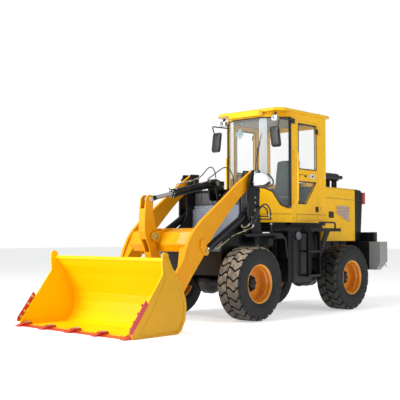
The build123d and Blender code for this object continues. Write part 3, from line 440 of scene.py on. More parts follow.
def axes_for(n):
    n = Vector(n).normalized()
    t = Vector((0, 0, 1)) if abs(n.z) < 0.9 else Vector((1, 0, 0))
    u = t.cross(n).normalized()
    return n, u, n.cross(u)


def lathe_into(bm, profile, centre, axis, seg=32, mat=0, closed=False, ends=True):
    """profile: (radius, distance along axis) pairs."""
    n, u, v = axes_for(axis)
    c = Vector(centre)
    rings = []
    for r, a in profile:
        if r < 1e-6:
            rings.append([bm.verts.new(c + n * a)])
        else:
            rings.append([bm.verts.new(c + n * a + (u * math.cos(2 * math.pi * k / seg) + v * math.sin(2 * math.pi * k / seg)) * r) for k in range(seg)])
    pairs = list(zip(rings, rings[1:]))
    if closed:
        pairs.append((rings[-1], rings[0]))
    for a, b in pairs:
        for k in range(seg):
            k2 = (k + 1) % seg
            if len(a) == 1 and len(b) == 1:
                continue
            if len(a) == 1:
                f = bm.faces.new((a[0], b[k], b[k2]))
            elif len(b) == 1:
                f = bm.faces.new((a[k], a[k2], b[0]))
            else:
                f = bm.faces.new((a[k], a[k2], b[k2], b[k]))
            f.material_index = mat
    if ends and not closed:
        for ring in (rings[0], rings[-1]):
            if len(ring) > 2:
                f = bm.faces.new(ring)
                f.material_index = mat


def lathe(name, profile, centre, axis, mat, body, seg=48, ends=True, **kw):
    bm = bmesh.new()
    lathe_into(bm, profile, centre, axis, seg, 0, False, ends)
    return mesh_piece(name, bm, mat, body, **kw)


def rounded_path(points, radius, steps=6):
    pts = [Vector(p) for p in points]
    out = [pts[0]]
    for a, b, c in zip(pts, pts[1:], pts[2:]):
        d1, d2 = (b - a), (c - b)
        turn = d1.angle(d2)
        if turn < 1e-3:
            out.append(b)
            continue
        cut = min(radius * math.tan(turn / 2), 0.45 * d1.length, 0.45 * d2.length)
        p, q = b - d1.normalized() * cut, b + d2.normalized() * cut
        for k in range(steps + 1):
            t = k / steps
            out.append(p * (1 - t) ** 2 + b * 2 * t * (1 - t) + q * t * t)
    out.append(pts[-1])
    return out


def pipe_into(bm, points, r, radius=0.03, seg=12, mat=0, steps=6):
    path = rounded_path(points, radius, steps)
    rings = []
    u = None
    for i, p in enumerate(path):
        d = (path[min(i + 1, len(path) - 1)] - path[max(i - 1, 0)]).normalized()
        if u is None:
            u = axes_for(d)[1]
        u = (u - d * u.dot(d)).normalized()
        v = d.cross(u)
        rings.append([bm.verts.new(p + (u * math.cos(2 * math.pi * k / seg) + v * math.sin(2 * math.pi * k / seg)) * r) for k in range(seg)])
    for a, b in zip(rings, rings[1:]):
        for k in range(seg):
            f = bm.faces.new((a[k], a[(k + 1) % seg], b[(k + 1) % seg], b[k]))
            f.material_index = mat
    for ring in (rings[0], rings[-1]):
        f = bm.faces.new(ring)
        f.material_index = mat


def pipe(name, points, r, mat, body, radius=0.03, seg=12, **kw):
    bm = bmesh.new()
    pipe_into(bm, points, r, radius, seg)
    return mesh_piece(name, bm, mat, body, **kw)


def hex_into(bm, p, n, r=0.012, h=0.009, washer=True, mat=0):
    """A hexagon head with a chamfer, on a washer."""
    n, u, v = axes_for(n)
    p = Vector(p)
    if washer:
        lathe_into(bm, [(r * 1.45, 0), (r * 1.45, 0.0022), (r * 1.38, 0.003), (0, 0.003)], p, n, 20, mat)
    rings = []
    for rr, a in ((r, 0.003), (r, h), (r * 0.86, h + r * 0.12), (0, h + r * 0.12)):
        if rr == 0:
            rings.append([bm.verts.new(p + n * a)])
        else:
            rings.append([bm.verts.new(p + n * a + (u * math.cos(math.pi * k / 3) + v * math.sin(math.pi * k / 3)) * rr) for k in range(6)])
    for a, b in zip(rings, rings[1:]):
        for k in range(6):
            k2 = (k + 1) % 6
            f = bm.faces.new((a[k], a[k2], b[0]) if len(b) == 1 else (a[k], a[k2], b[k2], b[k]))
            f.material_index = mat


def bolts(name, places, mat, body, r=0.012, h=0.009):
    bm = bmesh.new()
    for p, n in places:
        hex_into(bm, p, n, r, h)
    return mesh_piece(name, bm, mat, body, smooth=True, angle=25)


def prism_into(bm, outline, lo, hi, axis="Y", mat=0, chamfer=0.002):
    """A plate with the outline (two coordinates) between lo and hi along an axis, its rims chamfered."""
    pts = list(outline)
    area = sum(a[0] * b[1] - b[0] * a[1] for a, b in zip(pts, pts[1:] + pts[:1]))
    if area < 0:
        pts.reverse()

    def inset(d):
        res = []
        n = len(pts)
        for i in range(n):
            a, b, c = Vector(pts[i - 1]), Vector(pts[i]), Vector(pts[(i + 1) % n])
            d1, d2 = (b - a).normalized(), (c - b).normalized()
            n1, n2 = Vector((-d1.y, d1.x)), Vector((-d2.y, d2.x))
            k = n1 + n2
            s = k.dot(n1)
            k = k / s if abs(s) > 0.2 else n1
            res.append(b + k * d)
        return res

    def place(q, h):
        if axis == "Y":
            return (q[0], h, q[1])
        if axis == "X":
            return (h, q[0], q[1])
        return (q[0], q[1], h)

    c = min(chamfer, (hi - lo) * 0.45)
    loops = [(inset(c), lo), (pts, lo + c), (pts, hi - c), (inset(c), hi)]
    rings = [[bm.verts.new(place(q, h)) for q in loop] for loop, h in loops]
    for a, b in zip(rings, rings[1:]):
        for k in range(len(a)):
            f = bm.faces.new((a[k], a[(k + 1) % len(a)], b[(k + 1) % len(a)], b[k]))
            f.material_index = mat
    for ring in (rings[0], rings[-1]):
        f = bm.faces.new(ring)
        f.material_index = mat


def prism(name, outline, lo, hi, mat, body, axis="Y", chamfer=0.002, **kw):
    bm = bmesh.new()
    prism_into(bm, outline, lo, hi, axis, 0, chamfer)
    return mesh_piece(name, bm, mat, body, **kw)


def rect(x0, x1, z0, z1, r=0.0, n=4):
    """A rectangle's outline with rounded corners."""
    if r <= 0:
        return [(x0, z0), (x1, z0), (x1, z1), (x0, z1)]
    out = []
    for cx, cz, a0 in ((x1 - r, z0 + r, -90), (x1 - r, z1 - r, 0), (x0 + r, z1 - r, 90), (x0 + r, z0 + r, 180)):
        for k in range(n + 1):
            a = math.radians(a0 + 90 * k / n)
            out.append((cx + r * math.cos(a), cz + r * math.sin(a)))
    return out


def FX(p):
    """Millimetres ahead of the rear axle -> metres in the part's frame."""
    return (p[0] / 1000.0 - 2.0, p[1] / 1000.0, p[2] / 1000.0)


# ------------------------------------------------------------------ hoses
TILT_HOSE = [(0.690, -0.045, 2.095), (0.600, -0.045, 2.140), (0.480, -0.045, 2.262), (0.390, -0.045, 2.292), (0.318, -0.045, 2.240), (0.290, -0.045, 2.160), (0.292, -0.045, 2.085)]
TOWER_HOSE = [(0.630, 0.092, 2.080), (0.540, 0.092, 2.125), (0.370, 0.092, 2.225), (0.240, 0.092, 2.290), (0.130, 0.092, 2.265), (0.055, 0.092, 2.190), (0.022, 0.092, 2.095), (0.020, 0.092, 1.995), (0.045, 0.092, 1.905), (0.115, 0.092, 1.852), (0.203, 0.092, 1.846)]
LIFT_OUTER = [(0.368, 0.740, 1.352), (0.310, 0.748, 1.445), (0.255, 0.750, 1.555), (0.190, 0.750, 1.645), (0.115, 0.750, 1.700), (0.025, 0.749, 1.700), (-0.045, 0.745, 1.640), (-0.080, 0.740, 1.555), (-0.088, 0.735, 1.500)]
LIFT_INNER = [(0.450, 0.728, 1.375), (0.385, 0.728, 1.430), (0.325, 0.728, 1.512), (0.262, 0.728, 1.590), (0.195, 0.728, 1.655), (0.118, 0.728, 1.672), (0.040, 0.728, 1.650), (-0.015, 0.726, 1.595), (-0.032, 0.722, 1.530)]
HOSES = [
    # name, points, radius, length, body, node
    ("hose_tilt", TILT_HOSE, 0.008, 0.6036, "tilt_tube", "tilt_hose"),
    ("hose_tower", TOWER_HOSE, 0.008, 1.1190, "front_frame", "tower_hose"),
    ("hose_lift_outer_left", LIFT_OUTER, 0.011, 0.7581, "front_frame", "lift_hoses"),
    ("hose_lift_inner_left", LIFT_INNER, 0.011, 0.6787, "front_frame", "lift_hoses"),
    ("hose_lift_outer_right", [(x, -y, z) for x, y, z in LIFT_OUTER], 0.011, 0.7581, "front_frame", "lift_hoses"),
    ("hose_lift_inner_right", [(x, -y, z) for x, y, z in LIFT_INNER], 0.011, 0.6787, "front_frame", "lift_hoses"),
]
for name, pts, r, length, body, node in HOSES:
    cu = bpy.data.curves.new(name, "CURVE")
    cu.dimensions = "3D"
    sp = cu.splines.new("NURBS")
    sp.points.add(len(pts) - 1)
    for q, p in zip(sp.points, pts):
        q.co = (*p, 1)
    sp.order_u = 3
    sp.use_endpoint_u = True
    cu.bevel_depth = r
    cu.bevel_resolution = 5
    cu.resolution_u = 12
    cu.use_fill_caps = True
    cu.materials.append(M["hose"])
    o = link(bpy.data.objects.new(name, cu))
    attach(o, body)
    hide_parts(node)

# ------------------------------------------------------------------ tyres
TYRE_R, PITCHES = 0.5375, 23
TOP = [(0.0, 0.5375), (0.080, 0.5372), (0.130, 0.5362), (0.158, 0.5335), (0.172, 0.5230), (0.184, 0.5070), (0.1935, 0.4850)]
BASE = [(0.0, 0.5110), (0.080, 0.5105), (0.130, 0.5080), (0.158, 0.5030), (0.172, 0.4960), (0.183, 0.4860), (0.1915, 0.4690)]
SIDE = [(0.1935, 0.4690), (0.1975, 0.4560), (0.2000, 0.4520), (0.2000, 0.4450), (0.1985, 0.4410), (0.2010, 0.4180), (0.2022, 0.3980), (0.2018, 0.3760), (0.1990, 0.3560),
        (0.2000, 0.3520), (0.1985, 0.3470), (0.1965, 0.3380), (0.1980, 0.3340), (0.1960, 0.3290), (0.1885, 0.3160), (0.1845, 0.3000), (0.1810, 0.2880), (0.1780, 0.2800), (0.1600, 0.2760)]
BEAD = [(0.1500, 0.2730), (0.1450, 0.2700)]


def interp(table, t):
    """t from 0 to 1 by arc length along a (y, r) table."""
    d = [0.0]
    for a, b in zip(table, table[1:]):
        d.append(d[-1] + math.hypot(b[0] - a[0], b[1] - a[1]))
    s = t * d[-1]
    for i in range(len(d) - 1):
        if s <= d[i + 1] + 1e-9:
            k = (s - d[i]) / (d[i + 1] - d[i])
            return (table[i][0] + (table[i + 1][0] - table[i][0]) * k, table[i][1] + (table[i + 1][1] - table[i][1]) * k)
    return table[-1]


def groove(u):
    """Centre line of the groove between lugs: across position 0..1 -> shift in pitches."""
    stops = [(0.0, 0.0), (0.20, 0.02), (0.50, 0.36), (0.62, 0.34), (0.80, 0.02), (1.0, -0.06)]
    for (a, va), (b, vb) in zip(stops, stops[1:]):
        if u <= b:
            return va + (vb - va) * (u - a) / (b - a)
    return stops[-1][1]


def tyre_mesh():
    bm = bmesh.new()
    step = 2 * math.pi / PITCHES
    seg = PITCHES * 5

    def at(y, r, a):
        return (r * math.sin(a), y, r * math.cos(a))

    # carcass: both sides and the groove floor, one closed section
    half = [p for p in BASE] + SIDE + BEAD
    section = [(-y, r) for y, r in reversed(half[1:])] + half
    rings = [[bm.verts.new(at(y, r, 2 * math.pi * k / seg)) for k in range(seg)] for y, r in section]
    inner = [[bm.verts.new(at(y, r, 2 * math.pi * k / seg)) for k in range(seg)] for y, r in ((0.145, 0.262), (-0.145, 0.262))]
    loops = rings + inner
    for a, b in zip(loops, loops[1:] + loops[:1]):
        for k in range(seg):
            bm.faces.new((a[k], a[(k + 1) % seg], b[(k + 1) % seg], b[k]))
    # lugs
    us = [0.0, 0.10, 0.20, 0.35, 0.50, 0.62, 0.71, 0.80, 0.88, 0.94, 1.0]
    vs = [0.0, 0.25, 0.5, 0.75, 1.0]
    for side in (1, -1):
        for i in range(PITCHES):
            off = i + (0.0 if side > 0 else 0.5)

            def point(u, v, gap, table, lift=0.0, pull=0.0):
                uu = 0.028 + u * (1.0 - 0.028)
                uu = 0.028 + pull + u * (1.0 - 0.028 - pull * (1.3 if u > 0 else 1))
                y, r = interp(table, min(max(uu, 0), 1))
                g = groove(u)
                vv = gap + v * (1 - 2 * gap)
                # a stepped end at the middle of the tread
                return at(side * y, r - lift, (off + g + vv) * step)

            top = [[bm.verts.new(point(u, v, 0.135, TOP, 0.0, 0.012)) for v in vs] for u in us]
            chm = {}
            basev = {}
            nu, nv = len(us), len(vs)
            border = [(a, 0) for a in range(nu)] + [(nu - 1, b) for b in range(1, nv)] + [(a, nv - 1) for a in range(nu - 2, -1, -1)] + [(0, b) for b in range(nv - 2, 0, -1)]
            for a, b in border:
                chm[(a, b)] = bm.verts.new(point(us[a], vs[b], 0.112, TOP, 0.0028, 0.004))
                basev[(a, b)] = bm.verts.new(point(us[a], vs[b], 0.070, BASE, 0.002, -0.004))
            for a in range(nu - 1):
                for b in range(nv - 1):
                    f = bm.faces.new((top[a][b], top[a + 1][b], top[a + 1][b + 1], top[a][b + 1]))
                    f.material_index = 1 if a < nu - 3 else 0
            m_ = len(border)
            for k in range(m_):
                p, q = border[k], border[(k + 1) % m_]
                f = bm.faces.new((top[p[0]][p[1]], top[q[0]][q[1]], chm[q], chm[p]))
                f.material_index = 1 if (p[0] < nu - 3 and q[0] < nu - 3) else 0
                bm.faces.new((chm[p], chm[q], basev[q], basev[p]))
            # raised rib from the shoulder lug down the side wall
            if i % 1 == 0:
                ribs = []
                for y, r in ((0.1925, 0.476), (0.1970, 0.462), (0.1990, 0.452)):
                    ribs.append([bm.verts.new(at(side * (y - d), r, (off + groove(1.0) + w) * step)) for w, d in ((0.20, 0.004), (0.24, 0.0), (0.72, 0.0), (0.76, 0.004))])
                for a, b in zip(ribs, ribs[1:]):
                    for k in range(3):
                        bm.faces.new((a[k], a[k + 1], b[k + 1], b[k]))
    me = bpy.data.meshes.new("tyre_tread")
    bmesh.ops.recalc_face_normals(bm, faces=bm.faces)
    bm.to_mesh(me)
    bm.free()
    me.materials.append(M["tyre"])
    me.materials.append(M["tread"])
    for p in me.polygons:
        p.use_smooth = True
    me.set_sharp_from_angle(angle=math.radians(32))
    return me


WHEELS = [
    # wheel, X, Y
    ("rear_left", -2.0, 0.79), ("rear_right", -2.0, -0.79), ("front_left", 0.48, 0.79), ("front_right", 0.48, -0.79),
]
tyre = tyre_mesh()
tyre_dark = tyre.copy()
tyre_dark.name = "tyre_tread_rear"
tyre_dark.materials[1] = M["tread_rear"]
for wheel, x, y in WHEELS:
    s = 1 if y > 0 else -1
    body = "wheel_" + wheel
    o = link(bpy.data.objects.new("tread_" + wheel, tyre_dark if "rear" in wheel else tyre))
    o.location = (x, y, TYRE_R)
    if s < 0:
        o.rotation_euler = (0, 0, math.pi)
    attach(o, body)
    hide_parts("tyre_" + wheel)
    c = Vector((x, y, TYRE_R))
    # rolled flange and lock ring on both faces of the rim, in a lighter copy of the rim orange as a painted highlight
    for e in (1, -1):
        lathe(f"flange_{wheel}_{'out' if e > 0 else 'in'}", [(0.256, 0.150), (0.262, 0.1500), (0.264, 0.164), (0.268, 0.1720), (0.273, 0.1800), (0.278, 0.1818), (0.281, 0.1795), (0.281, 0.1740), (0.277, 0.1670), (0.268, 0.160), (0.262, 0.146), (0.256, 0.150)],
              c, (0, e * s, 0), "orange_light", body, seg=72, ends=False, slot="orange_paint")
    # lock ring split, on the outer flange
    prism(f"ring_split_{wheel}", [(x + 0.190, TYRE_R + 0.192), (x + 0.194, TYRE_R + 0.188), (x + 0.1995, TYRE_R + 0.1945), (x + 0.1955, TYRE_R + 0.1985)], min(y + s * 0.1800, y + s * 0.1828), max(y + s * 0.1800, y + s * 0.1828), "black", body, slot="black_paint")
    # hub: flange, cap and wheel nuts, black
    bm = bmesh.new()
    lathe_into(bm, [(0.118, -0.012), (0.118, 0.004), (0.114, 0.009), (0.082, 0.011), (0.070, 0.020), (0.067, 0.042), (0.058, 0.050), (0.030, 0.051), (0.027, 0.058), (0, 0.060)], c, (0, s, 0), 48)
    for k in range(8):
        a = 2 * math.pi * k / 8
        hex_into(bm, (x + 0.097 * math.cos(a), y + s * 0.009, TYRE_R + 0.097 * math.sin(a)), (0, s, 0), 0.0145, 0.020)
    for k in range(4):
        a = 2 * math.pi * (k + 0.5) / 4
        hex_into(bm, (x + 0.040 * math.cos(a), y + s * 0.048, TYRE_R + 0.040 * math.sin(a)), (0, s, 0), 0.006, 0.007, False)
    mesh_piece("hub_" + wheel, bm, "black", body, slot="black_paint", angle=28)
    # wheel disc: raised rings pressed in the dish
    bm = bmesh.new()
    lathe_into(bm, [(0.120, 0.0035), (0.124, 0.0075), (0.134, 0.0085), (0.140, 0.0050), (0.120, 0.0030)], c, (0, s, 0), 64, closed=True, ends=False)
    lathe_into(bm, [(0.240, 0.0040), (0.2600, 0.0200), (0.2640, 0.0200), (0.2640, 0.0030)], c, (0, s, 0), 64, closed=True, ends=False)
    lathe_into(bm, [(0.2630, 0.094), (0.2630, 0.126), (0.2585, 0.120), (0.2585, 0.100)], c, (0, s, 0), 64, closed=True, ends=False)
    mesh_piece("disc_rings_" + wheel, bm, "orange", body, slot="orange_paint")
    # valve
    va = math.radians(200)
    vx, vz = x + 0.245 * math.cos(va), TYRE_R + 0.245 * math.sin(va)
    pipe(f"valve_{wheel}", [(vx, y + s * 0.006, vz), (vx, y + s * 0.05, vz), (vx - 0.008 * math.cos(va), y + s * 0.075, vz - 0.008 * math.sin(va))], 0.0045, "brass", body, 0.01, 10, slot="grey_paint")

# ------------------------------------------------------------------ towers and front frame
def F(x, y, z):
    return FX((x, y, z))


def mm(points):
    """Side-view outline in millimetres ahead of the rear axle -> metres."""
    return [(a / 1000.0 - 2.0, b / 1000.0) for a, b in points]


def both():
    return ((1, "left"), (-1, "right"))


def pin_end(bm, p, n, r, h=0.012, bolt=True, mat=0):
    """A pin's end: chamfered head, a grease dimple and a ring."""
    lathe_into(bm, [(r * 1.32, 0), (r * 1.32, h * 0.35), (r * 1.26, h * 0.5), (r * 1.02, h * 0.5), (r * 1.0, h), (r * 0.9, h * 1.15), (r * 0.32, h * 1.15), (r * 0.24, h * 0.8), (0, h * 0.8)], p, n, 36, mat)


for s, side in both():
    n = (0, s, 0)
    # boom pin: olive head on a pale washer, with its keeper plate and bolt
    bm = bmesh.new()
    lathe_into(bm, [(0.036, 0), (0.060, 0), (0.060, 0.004), (0.057, 0.006), (0.036, 0.006)], F(2235, s * 712.6, 2140), n, 40, closed=False, ends=False)
    mesh_piece(f"boom_pin_washer_{side}", bm, "zinc", "front_frame", slot="grey_paint")
    bm = bmesh.new()
    lathe_into(bm, [(0.0345, 0), (0.0345, 0.0195), (0.031, 0.0225), (0.012, 0.0225), (0.009, 0.019), (0, 0.019)], F(2235, s * 712.0, 2140), n, 36)
    mesh_piece(f"boom_pin_head_{side}", bm, "olive", "front_frame", slot="grey_paint")
    prism(f"boom_pin_keeper_{side}", mm([(2190, 2104), (2222, 2090), (2232, 2103), (2200, 2118)]), *sorted((s * 0.7125, s * 0.7205)), "black", "front_frame", slot="black_paint")
    bolts(f"tower_bolts_{side}", [(F(2211, s * 720.5, 2104), n), (F(2263, s * 712.5, 1796), n), (F(2264, s * 712.5, 1718), n), (F(2190, s * 712.5, 1640), n), (F(2350, s * 712.5, 1500), n), (F(2360, s * 712.5, 1420), n)], "steel", "front_frame", 0.010, 0.008)
    # lift cylinder pin: olive ring
    bm = bmesh.new()
    lathe_into(bm, [(0.029, 0), (0.046, 0), (0.046, 0.003), (0.043, 0.0045), (0.029, 0.0045)], F(2265, s * 712.6, 1600), n, 40, ends=False)
    lathe_into(bm, [(0.0295, 0), (0.0295, 0.0050), (0.026, 0.0075), (0.007, 0.0075), (0.005, 0.005), (0, 0.005)], F(2265, s * 712.0, 1600), n, 32)
    mesh_piece(f"lift_pin_{side}", bm, "olive", "front_frame", slot="grey_paint")
    # boss under the lamp
    lathe(f"lamp_boss_{side}", [(0.032, 0), (0.032, 0.010), (0.028, 0.014), (0.016, 0.014), (0.014, 0.020), (0, 0.021)], F(2190, s * 712.5, 1890), n, "black_fitting", "front_frame", slot="black_paint")
    # doubler plate round the lift pin
    prism(f"tower_doubler_{side}", mm([(2190, 1530), (2340, 1510), (2380, 1570), (2352, 1680), (2238, 1690), (2198, 1640)]), *sorted((s * 0.7125, s * 0.7175)), "black", "front_frame", slot="black_paint")
    # painted reflection: a thin blue-grey sheet on the towers' inner faces stands in for the sheen on their black paint
    prism(f"inner_face_{side}", mm([(2160, 2185), (2310, 2180), (2370, 2040), (2400, 1875), (2402, 1440), (2345, 1372), (2305, 1262), (2140, 1262), (2185, 1660)]), *sorted((s * 0.5525, s * 0.5555)), "plate_blue", "front_frame", slot="grey_paint")
    # short rigid pipes behind the outer plate, and their fittings
    bm = bmesh.new()
    pipe_into(bm, [F(2130, s * 706, 1520), F(2060, s * 722, 1520), F(1968, s * 722, 1520)], 0.0095, 0.03, 14)
    pipe_into(bm, [F(1968, s * 722, 1516), F(1968, s * 722, 1532)], 0.0125, 0.03, 14)
    pipe_into(bm, [F(2130, s * 706, 1476), F(2060, s * 735, 1476), F(1925, s * 735, 1476), F(1912, s * 735, 1480), F(1912, s * 735, 1502)], 0.0095, 0.02, 14)
    mesh_piece(f"rigid_pipes_{side}", bm, "black_fitting", "front_frame", slot="hose_rubber")
    bm = bmesh.new()
    for p, q in ((F(2112, s * 710, 1520), F(2135, s * 704, 1520)), (F(2112, s * 710, 1476), F(2135, s * 704, 1476)), (F(1968, s * 722, 1522), F(1967, s * 722.5, 1540)), (F(1912, s * 735, 1494), F(1913, s * 735.5, 1514))):
        d = (Vector(q) - Vector(p))
        lathe_into(bm, [(0.0145, 0), (0.0150, 0.002), (0.0150, d.length - 0.002), (0.0145, d.length)], p, d, 6)
    mesh_piece(f"pipe_nuts_{side}", bm, "black_fitting", "front_frame", slot="grey_paint", angle=20)
    # zinc pipes along the lift cylinder, both ports
    bm = bmesh.new()
    pipe_into(bm, [F(3086, s * 640, 1075), F(3086, s * 660, 1045), F(3060, s * 664, 1046), F(2731, s * 668, 1229), F(2447, s * 690, 1313), F(2400, s * 728, 1335), F(2372, s * 739, 1346)], 0.0088, 0.05, 14)
    pipe_into(bm, [F(2520, s * 640, 1398), F(2530, s * 676, 1352), F(2520, s * 700, 1345), F(2470, s * 722, 1363), F(2453, s * 727, 1373)], 0.0088, 0.03, 14)
    mesh_piece(f"lift_pipes_{side}", bm, "brass", "lift_barrel_pair", slot="grey_paint")
    bm = bmesh.new()
    for p, q, r in ((F(3086, s * 648, 1062), F(3086, s * 664, 1038), 0.016), (F(2392, s * 731, 1338), F(2366, s * 741, 1354), 0.0150), (F(2468, s * 722, 1364), F(2446, s * 729, 1379), 0.0150), (F(2520, s * 652, 1388), F(2526, s * 672, 1362), 0.0150)):
        d = (Vector(q) - Vector(p))
        lathe_into(bm, [(r * 0.92, 0), (r, 0.0025), (r, d.length - 0.0025), (r * 0.92, d.length)], p, d, 6)
    mesh_piece(f"lift_pipe_nuts_{side}", bm, "zinc", "lift_barrel_pair", slot="grey_paint", angle=20)
    # clamps that hold the pipe to the barrel
    for k, (cx, cz) in enumerate(((2790, 1199), (2490, 1300))):
        bm = bmesh.new()
        prism_into(bm, rect(cx / 1000 - 2.0 - 0.016, cx / 1000 - 2.0 + 0.016, cz / 1000 - 0.018, cz / 1000 + 0.018, 0.005), *sorted((s * (0.652 if k == 0 else 0.668), s * (0.682 if k == 0 else 0.704))))
        hex_into(bm, F(cx, s * (682 if k == 0 else 704), cz), n, 0.007, 0.007, False)
        mesh_piece(f"pipe_clamp_{side}_{k}", bm, "zinc" if k else "black_fitting", "lift_barrel_pair", slot="grey_paint", angle=25)
    # gland ring, wiper ring and bosses on the lift barrel
    ax = (Vector(F(3285, 0, 1010)) - Vector(F(2265, 0, 1600))).normalized()
    root = Vector(F(2265, s * 620, 1600))
    L = 1.1784
    bm = bmesh.new()
    lathe_into(bm, [(0.0562, L - 0.170), (0.0578, L - 0.168), (0.0578, L - 0.156), (0.0562, L - 0.154)], root, ax, 48, ends=False)
    lathe_into(bm, [(0.0562, L - 0.145), (0.0576, L - 0.143), (0.0576, L - 0.116), (0.0566, L - 0.114), (0.0556, L - 0.1035), (0.040, L - 0.1030), (0.0305, L - 0.1005)], root, ax, 48, ends=False)
    lathe_into(bm, [(0.0562, 0.085), (0.0590, 0.088), (0.0590, 0.100), (0.0562, 0.103)], root, ax, 48, ends=False)
    mesh_piece(f"lift_gland_{side}", bm, "black", "lift_barrel_pair", slot="black_paint")
    # rod eye pin at the boom
    bm = bmesh.new()
    for e in (1, -1):
        pin_end(bm, F(3285, s * 620 + e * 52.5, 1010), (0, e, 0), 0.0235, 0.010)
    mesh_piece(f"lift_rod_pin_{side}", bm, "olive", "boom_arms", slot="grey_paint")

# cross panel: stiffening ribs, bolts at the folded sheet's ends, flange bolts
bolts("panel_bolts", [(F(2300.5, y, 1500), (1, 0, 0)) for y in (-495, 495)] + [(F(2262.5, y, 1674), (1, 0, 0)) for y in (-500, -250, 0, 250, 500)], "zinc", "front_frame", 0.011, 0.008)
bolts("flange_bolts", [(F(2213, y, 1940), (0, 0, 1)) for y in (-470, -320, -170, 170, 320, 470)], "steel", "front_frame", 0.010, 0.008)
bm = bmesh.new()
for y in (-380, -150, 150, 380):
    prism_into(bm, rect(y / 1000 - 0.006, y / 1000 + 0.006, 1.700, 1.905), 0.245, 0.262, "X")
prism_into(bm, rect(-0.500, 0.500, 1.712, 1.724, 0.003), 0.2445, 0.252, "X")
mesh_piece("panel_ribs", bm, "grey", "front_frame", slot="black_paint")
prism("panel_face", rect(-0.520, 0.520, 1.730, 1.895, 0.01), 0.2445, 0.2485, "grey", "front_frame", "X", slot="grey_paint")
# folded sheet: pressed swages
bm = bmesh.new()
for y0, y1 in ((-0.43, -0.06), (0.06, 0.43)):
    prism_into(bm, rect(y0, y1, 1.405, 1.600, 0.03, 5), 0.3000, 0.3035, "X", 0, 0.0015)
mesh_piece("sheet_swages", bm, "panel", "front_frame", slot="grey_paint")
bolts("sheet_bolts", [(F(2640.5, y, z), (1, 0, 0)) for y in (-470, 0, 470) for z in (900, 1100)], "steel", "front_frame", 0.009, 0.007)
# tilt bracket: pin ends, keeper lugs with a hole
for s, side in both():
    bm = bmesh.new()
    pin_end(bm, F(2400, s * 86, 2028), (0, s, 0), 0.030, 0.013)
    mesh_piece(f"tilt_pin_{side}", bm, "olive", "front_frame", slot="grey_paint")
    bm = bmesh.new()
    lathe_into(bm, [(0.040, 0), (0.058, 0), (0.058, 0.006), (0.055, 0.008), (0.040, 0.008)], F(2400, s * 86, 2028), (0, s, 0), 40, ends=False)
    lathe_into(bm, [(0.008, 0), (0.018, 0), (0.018, 0.005), (0.008, 0.005)], F(2290, s * 86, 2035), (0, s, 0), 24, closed=True, ends=False)
    mesh_piece(f"tilt_bosses_{side}", bm, "black", "front_frame", slot="black_paint")
    bolts(f"tilt_bracket_bolts_{side}", [(F(2262, s * 86, 1850), (0, s, 0)), (F(2262, s * 86, 1980), (0, s, 0)), (F(2345, s * 86, 1850), (0, s, 0))], "steel", "front_frame", 0.010, 0.008)

# ------------------------------------------------------------------ tilt cylinder
t0, t1 = Vector(F(2400, 0, 2028)), Vector(F(3785, 0, 1735))
tx = (t1 - t0).normalized()
TL = (t1 - t0).length
bm = bmesh.new()
lathe_into(bm, [(0.0585, 0.835), (0.0610, 0.837), (0.0610, 0.850), (0.0585, 0.852)], t0, tx, 48, ends=False)
lathe_into(bm, [(0.0645, 0.860), (0.0660, 0.862), (0.0660, 0.905), (0.0640, 0.9150), (0.0630, 0.9175), (0.040, 0.9185), (0.0345, 0.9225), (0.0312, 0.9225)], t0, tx, 48, ends=False)
lathe_into(bm, [(0.0585, 0.090), (0.0615, 0.093), (0.0615, 0.112), (0.0585, 0.115)], t0, tx, 48, ends=False)
mesh_piece("tilt_gland", bm, "black", "tilt_tube", slot="black_paint")
bolts("tilt_gland_bolts", [(t0 + tx * 0.9185 + (axes_for(tx)[1] * math.cos(a) + axes_for(tx)[2] * math.sin(a)) * 0.050, tx) for a in [math.pi * k / 3 for k in range(6)]], "steel", "tilt_tube", 0.006, 0.004)
# rod: black near the eye, pale pin end
lathe("tilt_rod_sleeve", [(0.0302, TL - 0.150), (0.0345, TL - 0.147), (0.0365, TL - 0.120), (0.0365, TL - 0.058), (0.0302, TL - 0.050)], t0, tx, "black", "tilt_ram", ends=False, slot="black_paint")
for s, side in both():
    bm = bmesh.new()
    pin_end(bm, F(3785, s * 72, 1735), (0, s, 0), 0.0255, 0.012)
    mesh_piece(f"crank_top_pin_{side}", bm, "zinc", "crank", slot="grey_paint")
    bm = bmesh.new()
    lathe_into(bm, [(0.0262, 0), (0.0395, 0), (0.0395, 0.005), (0.0375, 0.007), (0.0262, 0.007)], F(3785, s * 61, 1735), (0, s, 0), 36, ends=False)
    mesh_piece(f"crank_top_ring_{side}", bm, "yellow", "crank", slot="yellow_paint")
    bm = bmesh.new()
    pin_end(bm, F(3655, s * 66, 600), (0, s, 0), 0.0245, 0.010)
    mesh_piece(f"crank_low_pin_{side}", bm, "olive", "crank", slot="grey_paint")
    bm = bmesh.new()
    pin_end(bm, F(3725, s * 100, 1215), (0, s, 0), 0.030, 0.012)
    lathe_into(bm, [(0.040, -0.003), (0.060, -0.003), (0.060, 0.004), (0.056, 0.007), (0.040, 0.007)], F(3725, s * 97, 1215), (0, s, 0), 36, ends=False)
    mesh_piece(f"crank_pin_{side}", bm, "olive", "boom_arms", slot="grey_paint")
    bolts(f"crank_keeper_{side}", [(F(3690, s * 97, 1262), (0, s, 0)), (F(3765, s * 97, 1180), (0, s, 0))], "steel", "boom_arms", 0.008, 0.007)
    bm = bmesh.new()
    pin_end(bm, F(4075, s * 72, 482), (0, s, 0), 0.0245, 0.010)
    mesh_piece(f"bucket_link_pin_{side}", bm, "olive", "bucket_body", slot="grey_paint")
